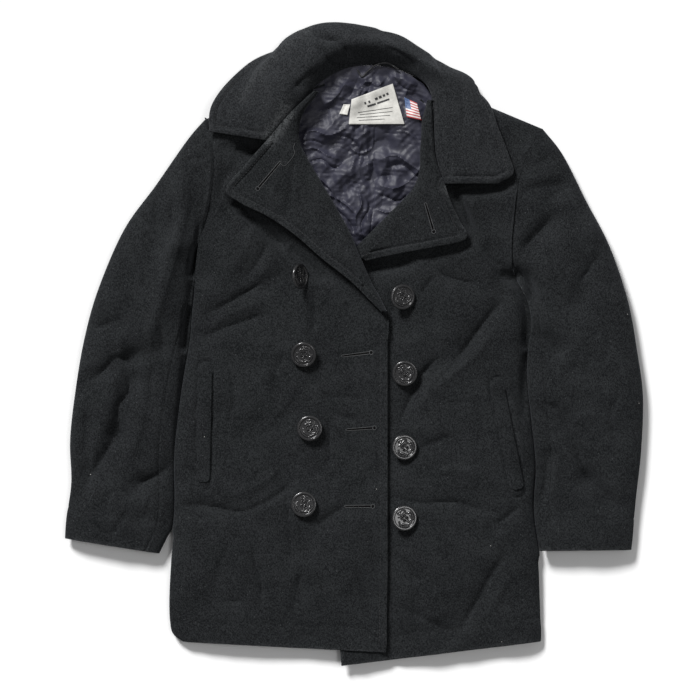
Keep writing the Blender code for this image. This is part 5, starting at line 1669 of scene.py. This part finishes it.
def add_buttonhole(name, tree, eye, end, looks):
    """A buttonhole: its bound thread, and near-black strips of painted shade over the open cut between its
    lips and over its eye.
    """
    eye, run = np.asarray(eye, float), np.asarray(end, float) - eye
    painted_slit_shade = [eye + run * share for share in np.linspace(-0.02, 0.97, 30)]
    hole = [eye + (x, 0) for x in (-1.3, -0.6, 0.6, 1.3)]
    for suffix, plan, lift, radius, look, how in (
            ("", keyhole(eye, end), 0.2, 0.33, "buttonhole_thread",
             {"sides": 8, "closed": True, "flat": 0.8}),
            # The cut and the eye are not opened: flat near-black strips paint the shade that falls into them
            ("_slit", painted_slit_shade, 0.1, 0.95, "painted_slit_shade", {"sides": 8, "flat": 0.3}),
            ("_painted_eye_shade", hole, 0.1, 1.8, "painted_slit_shade", {"sides": 12, "flat": 0.2})):
        line, ups = on_surface(tree, plan, lift)
        kept(rope_mesh(name + suffix, line, ups, radius, looks[look], **how), "wool")


def stroke(x, y, path, half_width, height):
    """Relief of a rounded stroke along a path."""
    away, _ = line_distance(x, y, path)
    return height * np.sqrt(np.maximum(1 - (away / half_width) ** 2, 0))


def arc(x, y, radius, first, last, count=16):
    """Points of an arc, angles in degrees."""
    angles = np.radians(np.linspace(first, last, count))
    return [(x + radius * math.cos(a), y + radius * math.sin(a)) for a in angles]


def button_face(x, y):
    """Height of a button's face over its centre plane: rimmed, with an anchor, its rope and four holes."""
    r = np.hypot(x, y)
    z = BUTTON_FLOOR + (BUTTON_RIM - BUTTON_FLOOR) * smooth(r, 12.0, 13.1)
    z = z - 0.4 * BUTTON_RIM * (1 - np.sqrt(np.maximum(1 - np.clip((r - 14.2) / 1.8, 0, 1) ** 2, 0)))
    parts = [stroke(x, y, path, half_width, height) for half_width, height, path in (
        (0.7, 0.7, arc(0, 9.2, 1.4, 0, 360, 24)),
        (1.15, 1.0, [(0, 7.8), (0, 3.6)]),
        (1.15, 1.0, [(0, -3.4), (0, -9.2)]),
        (0.95, 0.9, [(-4.0, 6.2), (4.0, 6.2)]),
        (1.1, 1.0, arc(0, -2.6, 6.9, 200, 340, 24)),
        (1.4, 1.0, [(-7.9, -3.0), (-6.4, -5.2)]),
        (1.4, 1.0, [(7.9, -3.0), (6.4, -5.2)]),
    )]
    away, share = line_distance(x, y, traced(BUTTON_ROPE, 90))
    twist = 0.85 + 0.15 * np.cos(share * 190 + away * 3)
    parts.append(0.8 * np.sqrt(np.maximum(1 - (away / 0.95) ** 2, 0)) * twist)
    z = z + np.max(parts, axis=0) * (1 - smooth(r, 11.4, 12.2))
    for hole_x in (-BUTTON_HOLE, BUTTON_HOLE):
        for hole_y in (-BUTTON_HOLE, BUTTON_HOLE):
            away = np.hypot(x - hole_x, y - hole_y)
            z = z + 0.25 * bell(away - 1.75, 0.35) - 3.4 * (1 - smooth(away, 0.95, 1.4))
    return z


def button_shape():
    """Points and faces of a button with its relief, its underside and shank."""
    radii = np.unique(np.concatenate([np.linspace(0.05, 11.6, 42), np.linspace(11.6, 13.2, 8),
                                      np.linspace(13.2, BUTTON_RADIUS - 0.01, 10)]))
    angles = np.arange(BUTTON_SIDES) * 2 * math.pi / BUTTON_SIDES
    round_x, round_y = np.cos(angles), np.sin(angles)
    x, y = radii[:, None] * round_x, radii[:, None] * round_y
    rings = [np.dstack([x, y, button_face(x, y)])]
    for radius, height in BUTTON_BELOW:
        rings.append(np.dstack([radius * round_x, radius * round_y, np.full((1, BUTTON_SIDES), height)]))
    points = np.concatenate(rings)
    return points.reshape(-1, 3), tube_faces(len(points), BUTTON_SIDES)


def button_strands(stand, normal, lift):
    """Paths of a button's thread in its own axes with their radii: four over its face, the stem below."""
    over = np.linspace(-2.6, 2.6, 13)
    height = 3.1 + 0.75 * np.sin(math.pi * (over + 2.6) / 5.2) - (np.abs(over) > 2.3) * 1.4
    strands = [(np.column_stack([np.full(13, side * BUTTON_HOLE + end * 0.35), over, height]), STRAND_RADIUS)
               for side in (-1, 1) for end in (-1, 1)]
    if lift < STRAIGHT_LIFT:
        stem = np.linspace(-BUTTON_STAND, -BUTTON_STAND - lift - 0.25, 5)[:, None] * (0, 0, 1)
    else:
        foot = stand @ Vector((0, 0, BUTTON_STAND))
        heights = np.linspace(-0.05, -lift - 0.2, 5)
        stem = np.asarray([stand.inverted() @ (normal * h - foot) for h in heights])
    return strands + [(stem, STEM_RADIUS)]


def add_button(number, place, tree, looks):
    """One button seated on its front by its shank, with the thread across its holes."""
    x, y, tilt, turn, lift = place
    height, normal = seat([tree], x, y)
    upright = Vector((0, 0, 1)).rotation_difference(normal).to_matrix()
    stand = upright @ Matrix.Rotation(math.radians(tilt), 3, "Y")
    stand = stand @ Matrix.Rotation(math.radians(turn), 3, "Z")
    foot = Vector((x, y, height)) + normal * (SEAM_GAP + lift) + stand @ Vector((0, 0, BUTTON_STAND))
    turned = np.asarray(stand).T
    points, faces = button_shape()
    points = points @ turned + np.asarray(foot)
    made = add_mesh(f"button_{number}_moulded", points, faces[:, ::-1], looks["plastic"], sharp=70)
    kept(made, "button_plastic", f"button_{number}")
    shapes, quads = [], []
    for line, radius in button_strands(stand, normal, lift):
        tangent = unit(np.gradient(line, axis=0))
        side = unit(np.cross(tangent, (1.0, 0, 0.0)))
        quads.append(tube_faces(len(line), 8, sum(len(shape) for shape in shapes)))
        shapes.append((line[:, None] + ring_about(side, np.cross(side, tangent), 8) * radius).reshape(-1, 3))
    thread = np.concatenate(shapes) @ turned + np.asarray(foot)
    kept(add_mesh(f"button_thread_{number}", thread, np.concatenate(quads), looks["thread"]), "cord")


def neighbours(height):
    """Nine copies of a grid of heights, each moved by up to one place."""
    padded = np.pad(height, 1, mode="edge")
    rows, columns = height.shape
    return [padded[a:a + rows, b:b + columns] for a in range(3) for b in range(3)]


def settled(height, reach, rounds):
    """Heights of a stiff layer over an uneven one: never below it, and smoother."""
    over = height
    for _ in range(reach):
        over = np.max(neighbours(over), axis=0)
    for _ in range(rounds):
        over = np.mean(neighbours(over), axis=0)
    return np.maximum(over, height)


def seated_heights(trees, plan):
    """Height of the highest face under each point of a grid in plan."""
    return np.asarray([[seat(trees, x, y)[0] for x, y in row] for row in plan])


def label_place(corners, across, up):
    """Places in plan at shares of a label's width and height."""
    (low_left, low_right), (top_left, top_right) = np.asarray(corners, float)
    left, right = low_left + (top_left - low_left) * up, low_right + (top_right - low_right) * up
    return left + (right - left) * across


def add_labels(trees, looks):
    """The woven labels, each with a plain border, and the rules on the main one."""
    up, across = np.linspace(0, 1, 30)[:, None], np.linspace(0, 1, 36)[None]
    for name, corners in LABELS.items():
        plan = label_place(corners, across[..., None], up[..., None])
        height = settled(seated_heights(trees, plan), 2, 6) + LABEL_LIFT + LABEL_THICKNESS
        face = np.dstack([plan, height])
        free = rim_distance(face)
        wave = waves(face[..., 0], face[..., 1], LABEL_WAVES)
        face = raised(face, groove(free, *LABEL_BORDER) + wave)
        shape, faces = wall(face, LABEL_THICKNESS, free=free)
        u, v = (np.tile(np.broadcast_to(part, face.shape[:2]).ravel(), 2) for part in (across, up))
        look = looks["flag"] if name == "flag_tag" else looks["label"]
        kept(add_mesh(f"{name}_woven", shape, faces, look, u=u, v=v), "label_satin", name)
        if name == "label":
            tree = surface(face)
    strips, faces = [], []
    for width, *ends in LABEL_RULES:
        start, end = (label_place(LABELS["label"], u, v) for u, v in ends)
        line = start + (end - start) * np.linspace(0, 1, 14)[:, None]
        across = heading(start, end)[2] * width / 2
        rows = [on_surface(tree, line + across * s, 0.30)[0] for s in (-1, 0, 1)]
        shape, quads = wall(np.stack(rows, 1), 0.08)
        faces.append(quads + sum(len(part) for part in strips))
        strips.append(shape)
    kept(add_mesh("label_rules", np.concatenate(strips), np.concatenate(faces), looks["ink"]), "label_satin")


def welt_grid(ends, tree):
    """Outer face of a pocket welt on its front, with rounded ends."""
    length, along, across = heading(*ends)
    at = stations(length, FINE_STEP) * length
    from_end = np.minimum(np.minimum(at, length - at), POCKET_CORNER)
    half = POCKET_WIDTH / 2 - POCKET_CORNER * (1 - np.sqrt(1 - (1 - from_end / POCKET_CORNER) ** 2))
    plan = np.asarray([[np.asarray(ends[0]) + along * s + across * w * h for w in WELT_OFFSETS]
                       for s, h in zip(at, half)])
    return np.dstack([plan, settled(seated_heights([tree], plan), 1, 3) + WELT_THICKNESS + 0.25])


def add_front(side, looks):
    """A front with its edge stitching. Gives a tree of its outer face."""
    name = f"front_{side['name']}"
    front, low = front_grid(side)
    distances = edge_distances(front)
    past_break = smooth(front[:, :1, 1], side["break_y"] - 30, side["break_y"])
    edge, hem = distances["start"] + past_break * PAST_BREAK, distances["bottom"]
    free = np.minimum(edge, hem)
    seam = np.where(np.arange(len(front))[:, None] >= low - 1, distances["end"], FAR)
    seam = np.minimum(seam, distances["top"])
    relief = edging(edge) * (edge < EDGE_REACH) + edging(hem, *HEM_EDGE) + groove(seam, *FRONT_SEAM)
    front = raised(front, relief)
    seams = (("end", 0, low, "level"), ("end", low, None, "upright"), ("top", 0, None, "level"))
    cloth(name, front, looks["wool"], edge_wear(free), free=free, seam=seam, seams=seams)
    rows = np.flatnonzero((front[:, 0, 1] < side["break_y"] - 22) & (hem[:, 0] > STITCH_DISTANCE))
    stitched(f"stitches_{name}", [level_line(front, edge, STITCH_DISTANCE, rows)], looks["thread"])
    return surface(front)


def add_back(side, looks):
    """Half of the back."""
    back, low, shoulder = back_grid(side)
    draw_in(back, -1, SEAM_GAP / 2)
    seams = (("start", 0, low, "level"), ("start", low, None, "upright"), ("top", 0, shoulder + 1, "level"))
    hem = edge_distances(back)["bottom"]
    cloth(f"back_{side['name']}", back, looks["wool"], free=hem, down=True, seams=seams)


def add_sleeve(side, looks):
    """The top and the under half of a sleeve, each turned a quarter of the way round the folds it shares."""
    quarter = math.pi / 4
    upper = sleeve_half(side, turn_shares(3 * quarter, 0, 52), True, STEP)
    outer_turn = sleeve_half(side, turn_shares(0, quarter, 12), False, STEP)
    lower = sleeve_half(side, turn_shares(quarter, math.pi, 30), False, UNDER_STEP)
    inner_turn = sleeve_half(side, turn_shares(math.pi, 3 * quarter, 20), True, UNDER_STEP)
    under_sleeve = np.concatenate([lower, inner_turn[:, 1:]], axis=1)
    draw_in(under_sleeve, 0, SEAM_GAP * 0.7)
    draw_in(under_sleeve, -1, SEAM_GAP * 0.7)
    seams = [(edge, 0, None, "upright") for edge in ("bottom", "start", "end")]
    for half, grid in (("top", np.concatenate([upper, outer_turn[:, 1:]], axis=1)), ("under", under_sleeve)):
        distances = edge_distances(grid)
        cuff = distances["top"]
        seam = np.minimum(distances["bottom"], distances["start" if half == "top" else "end"])
        if half == "top":
            grid = raised(grid, edging(cuff, *CUFF_EDGE) + groove(seam, *SLEEVE_SEAM))
        cloth(f"sleeve_{half}_{side['name']}", grid, looks["wool"], edge_wear(cuff), free=cuff, seam=seam,
              down=half == "under", seams=seams)


def add_facing(side, looks):
    """A facing, its stitching and buttonhole, and the lapel's under layer. Gives a tree of the facing."""
    name = side["name"]
    facing, free_rows = facing_grid(side)
    from_edge, _ = nearest(facing, facing[:free_rows + 1, -1])
    from_seam, _ = nearest(facing, facing[free_rows:, -1])
    x, y = facing[..., 0], facing[..., 1]
    turned = smooth(np.arange(facing.shape[1]), *TURNED_COLUMNS)[None]
    relief = CREASE_DEPTH * crease_height(LAPEL_CREASES, x, y) + waves(x, y, FACING_WAVES)
    relief = relief * smooth(np.minimum(from_edge, from_seam), 0, 14)
    relief = relief + edging(from_edge, *LAPEL_EDGE) + groove(from_seam, *COLLAR_SEAM)
    facing = raised(facing, relief * turned)
    distances = edge_distances(facing)
    free = np.minimum(from_edge, distances["bottom"] + 3 * (1 - turned))
    seam = np.where(np.arange(len(facing))[:, None] >= free_rows, distances["end"], FAR)
    rubbed, _ = line_distance(x, y, RUBBED[name])
    wear = (0.6 * edge_wear(from_edge) + 0.5 * bell(rubbed, 7)) * turned
    seams = (("end", free_rows, None, "upright"),)
    cloth(f"facing_{name}", facing, looks["wool"], wear, free=free, seam=seam, seams=seams)
    tree = surface(facing)
    cloth(f"lapel_{name}", facing, looks["wool"], wear * 0.5, free=free, behind=CLOTH + LAYER_GAP,
          seams=seams, rows=slice(int(free_rows * LAPEL_FIRST_SHARE), None),
          columns=slice(LAPEL_FIRST_COLUMN, None))
    lines = [level_line(facing, from_edge, LAPEL_STITCH, range(4, free_rows), backwards=True)]
    stitched(f"stitches_lapel_{name}", lines, looks["thread"])
    add_buttonhole(f"buttonhole_lapel_{name}", tree, *BUTTONHOLES[f"lapel_{name}"], looks)
    return tree


def add_welt(side, tree, looks):
    """A pocket welt with the groove along its edge."""
    welt = welt_grid(side["pocket"], tree)
    free = rim_distance(welt)
    welt = raised(welt, groove(free, *WELT_GROOVE))
    cloth(f"pocket_welt_{side['name']}", welt, looks["wool"], thickness=WELT_THICKNESS, free=free)


def add_collar(looks):
    """The upper and under collar with their stitching. Gives a tree of the upper one."""
    collar = collar_grid()
    distances = edge_distances(collar)
    outer = np.concatenate([collar[0], collar[1:, -1], collar[-1, -2::-1]])
    from_edge, _ = nearest(collar, outer[6:-6])
    x, y = collar[..., 0], collar[..., 1]
    seen = smooth(distances["start"], 0, 12) * smooth(collar[..., 2], 6, 16)
    relief = COLLAR_CREASE_DEPTH * crease_height(COLLAR_CREASES, x, y) + waves(x, y, COLLAR_WAVES)
    relief = relief * smooth(from_edge, 0, 10) + edging(from_edge, *COLLAR_EDGE)
    collar = raised(collar, relief * seen + groove(distances["start"], *COLLAR_SEAM))
    collar[..., 2] = np.maximum(collar[..., 2], FLOOR_GAP)
    free = np.minimum(np.minimum(distances["end"], distances["bottom"]), distances["top"])
    rubbed, _ = line_distance(x, y, RUBBED["collar"])
    crest, _ = line_distance(x, y, traced(COLLAR_CREST, 40))
    wear = edge_wear(from_edge, 0.2, 1.8) + 0.42 * bell(rubbed, 8) + 0.16 * bell(crest, 6)
    seams = (("start", 0, None, "upright"),)
    cloth("collar_upper", collar, looks["wool_collar"], wear, free=free, seam=distances["start"], seams=seams)
    cloth("collar_under", collar, looks["wool_collar"], free=free, behind=CLOTH + LAYER_GAP, seams=seams)
    rows = [n for n in range(len(collar)) if collar[n, -8, 2] > 8]
    runs = np.split(rows, np.flatnonzero(np.diff(rows) > 1) + 1)
    lines = [level_line(collar, from_edge, LAPEL_STITCH, run, backwards=True) for run in runs if len(run) > 3]
    stitched("stitches_collar", lines, looks["thread"])
    return surface(collar)


def add_hanger(trees, looks):
    """The hanger loop's cord, lying over the lining and the collar."""
    loop = traced(HANGER_LOOP, 90)
    line = np.asarray([(x, y, seat(trees, x, y)[0] + HANGER_RADIUS + 0.5) for x, y in loop])
    padded = np.pad(line[:, 2], HANGER_EVENING // 2, mode="edge")
    line[:, 2] = np.convolve(padded, np.full(HANGER_EVENING, 1 / HANGER_EVENING), mode="valid")
    cord = rope_mesh("hanger_loop_cord", line, np.tile((0.0, 0.0, 1.0), (len(line), 1)), HANGER_RADIUS,
                     looks["cord"], strands=2, turn=1.9)
    kept(cord, "cord", "hanger_loop")


def build(looks):
    """Makes the coat's pieces."""
    fronts, facings = {}, {}
    for side in SIDES:
        name = side["name"]
        fronts[name] = add_front(side, looks)
        add_back(side, looks)
        add_sleeve(side, looks)
        facings[name] = add_facing(side, looks)
        add_welt(side, fronts[name], looks)
    collar = add_collar(looks)

    lining = lining_grid()
    shape, faces = wall(lining, SATIN)
    kept(add_mesh("lining_back_satin", shape, faces, looks["satin"], sharp=24), "lining_satin", "lining_back")
    neck = surface(lining)
    add_labels([neck], looks)
    line, ups = on_surface(facings["wearers_right"], traced(LOOSE_THREAD, 40), 0.35)
    kept(rope_mesh("loose_thread", line, ups, 0.3, looks["buttonhole_thread"], sides=6), "wool")
    for n, (eye, end) in enumerate(BUTTONHOLES["wearers_right"], 1):
        add_buttonhole(f"buttonhole_{n}", fronts["wearers_right"], eye, end, looks)
    add_hanger([neck, collar], looks)
    for n, place in enumerate(BUTTONS):
        owner = "wearers_right" if n < len(BUTTONS) // 2 else "wearers_left"
        add_button(n + 1, place, fronts[owner], looks)


looks = {
    "wool": wool_material(
        "wool_melton", (0.0048, 0.0054, 0.0060), (0.0208, 0.0226, 0.0240), (0.085, 0.089, 0.092)),
    "wool_collar": wool_material(
        "wool_collar", (0.0066, 0.0073, 0.0082), (0.0262, 0.0280, 0.0300), (0.095, 0.099, 0.102)),
    "satin": satin_material("lining_satin_blue"),
    "plastic": plastic_material("button_plastic_black"),
    "thread": woven_material("sewing_thread", (0.010, 0.010, 0.011), (0.028, 0.028, 0.030)),
    "buttonhole_thread": woven_material("buttonhole_thread", (0.030, 0.031, 0.033), (0.085, 0.087, 0.090)),
    # Near-black with little gloss: painted shade for the open cut and the eye of each buttonhole
    "painted_slit_shade": woven_material("buttonhole_slit", (0.0015, 0.0015, 0.0015), (0.004, 0.004, 0.004), shine=0.1),
    "label": woven_material("label_satin", (0.48, 0.47, 0.44), (0.67, 0.66, 0.62), 0.5),
    "ink": woven_material("label_ink", (0.02, 0.02, 0.022), (0.05, 0.05, 0.053), 0.6),
    "flag": flag_material("flag_weave"),
    "cord": woven_material("hanger_cord", (0.008, 0.008, 0.009), (0.03, 0.03, 0.032), 0.6),
}
build(looks)


# Floor, light and camera
def add_floor():
    """A plain pale floor."""
    mesh = bpy.data.meshes.new("floor")
    corners = [(FLOOR_REACH * x, FLOOR_REACH * y, 0) for x, y in ((-1, -1), (1, -1), (1, 1), (-1, 1))]
    mesh.from_pydata(corners, [], [(0, 1, 2, 3)])
    mesh.materials.append(floor_material())
    floor = bpy.data.objects.new("floor", mesh)
    floor.location = (0, 0, -FLOOR_DROP)
    bpy.context.scene.collection.objects.link(floor)


def add_light(name, azimuth, elevation, spread, strength):
    """A broad soft light from far away, its direction and spread in degrees."""
    light = bpy.data.lights.new(name, "SUN")
    light.energy, light.angle = strength, math.radians(spread)
    lamp = bpy.data.objects.new(name, light)
    turn, rise = math.radians(azimuth), math.radians(elevation)
    place = Vector((math.cos(rise) * math.cos(turn), math.cos(rise) * math.sin(turn), math.sin(rise)))
    place = place * LIGHT_DISTANCE
    lamp.location = place
    lamp.rotation_euler = (-place).to_track_quat("-Z", "Y").to_euler()
    bpy.context.scene.collection.objects.link(lamp)


def add_camera():
    """Straight above the coat, with a long lens."""
    camera = bpy.data.cameras.new("camera")
    camera.sensor_width = SENSOR_WIDTH
    camera.lens = SENSOR_WIDTH * (CAMERA_HEIGHT - COAT_HEIGHT) / PICTURE_WIDTH
    camera.clip_end = CAMERA_REACH
    holder = bpy.data.objects.new("camera", camera)
    holder.location = CAMERA_PLACE
    bpy.context.scene.collection.objects.link(holder)
    bpy.context.scene.camera = holder


add_floor()
for light in LIGHTS:
    add_light(*light)
add_camera()
world = bpy.data.worlds.new("studio")
world.use_nodes = True
background = world.node_tree.nodes["Background"].inputs
background["Color"].default_value = (1, 1, 1, 1)
background["Strength"].default_value = WORLD_STRENGTH
bpy.context.scene.world = world
bpy.context.scene.view_settings.view_transform = "Standard"
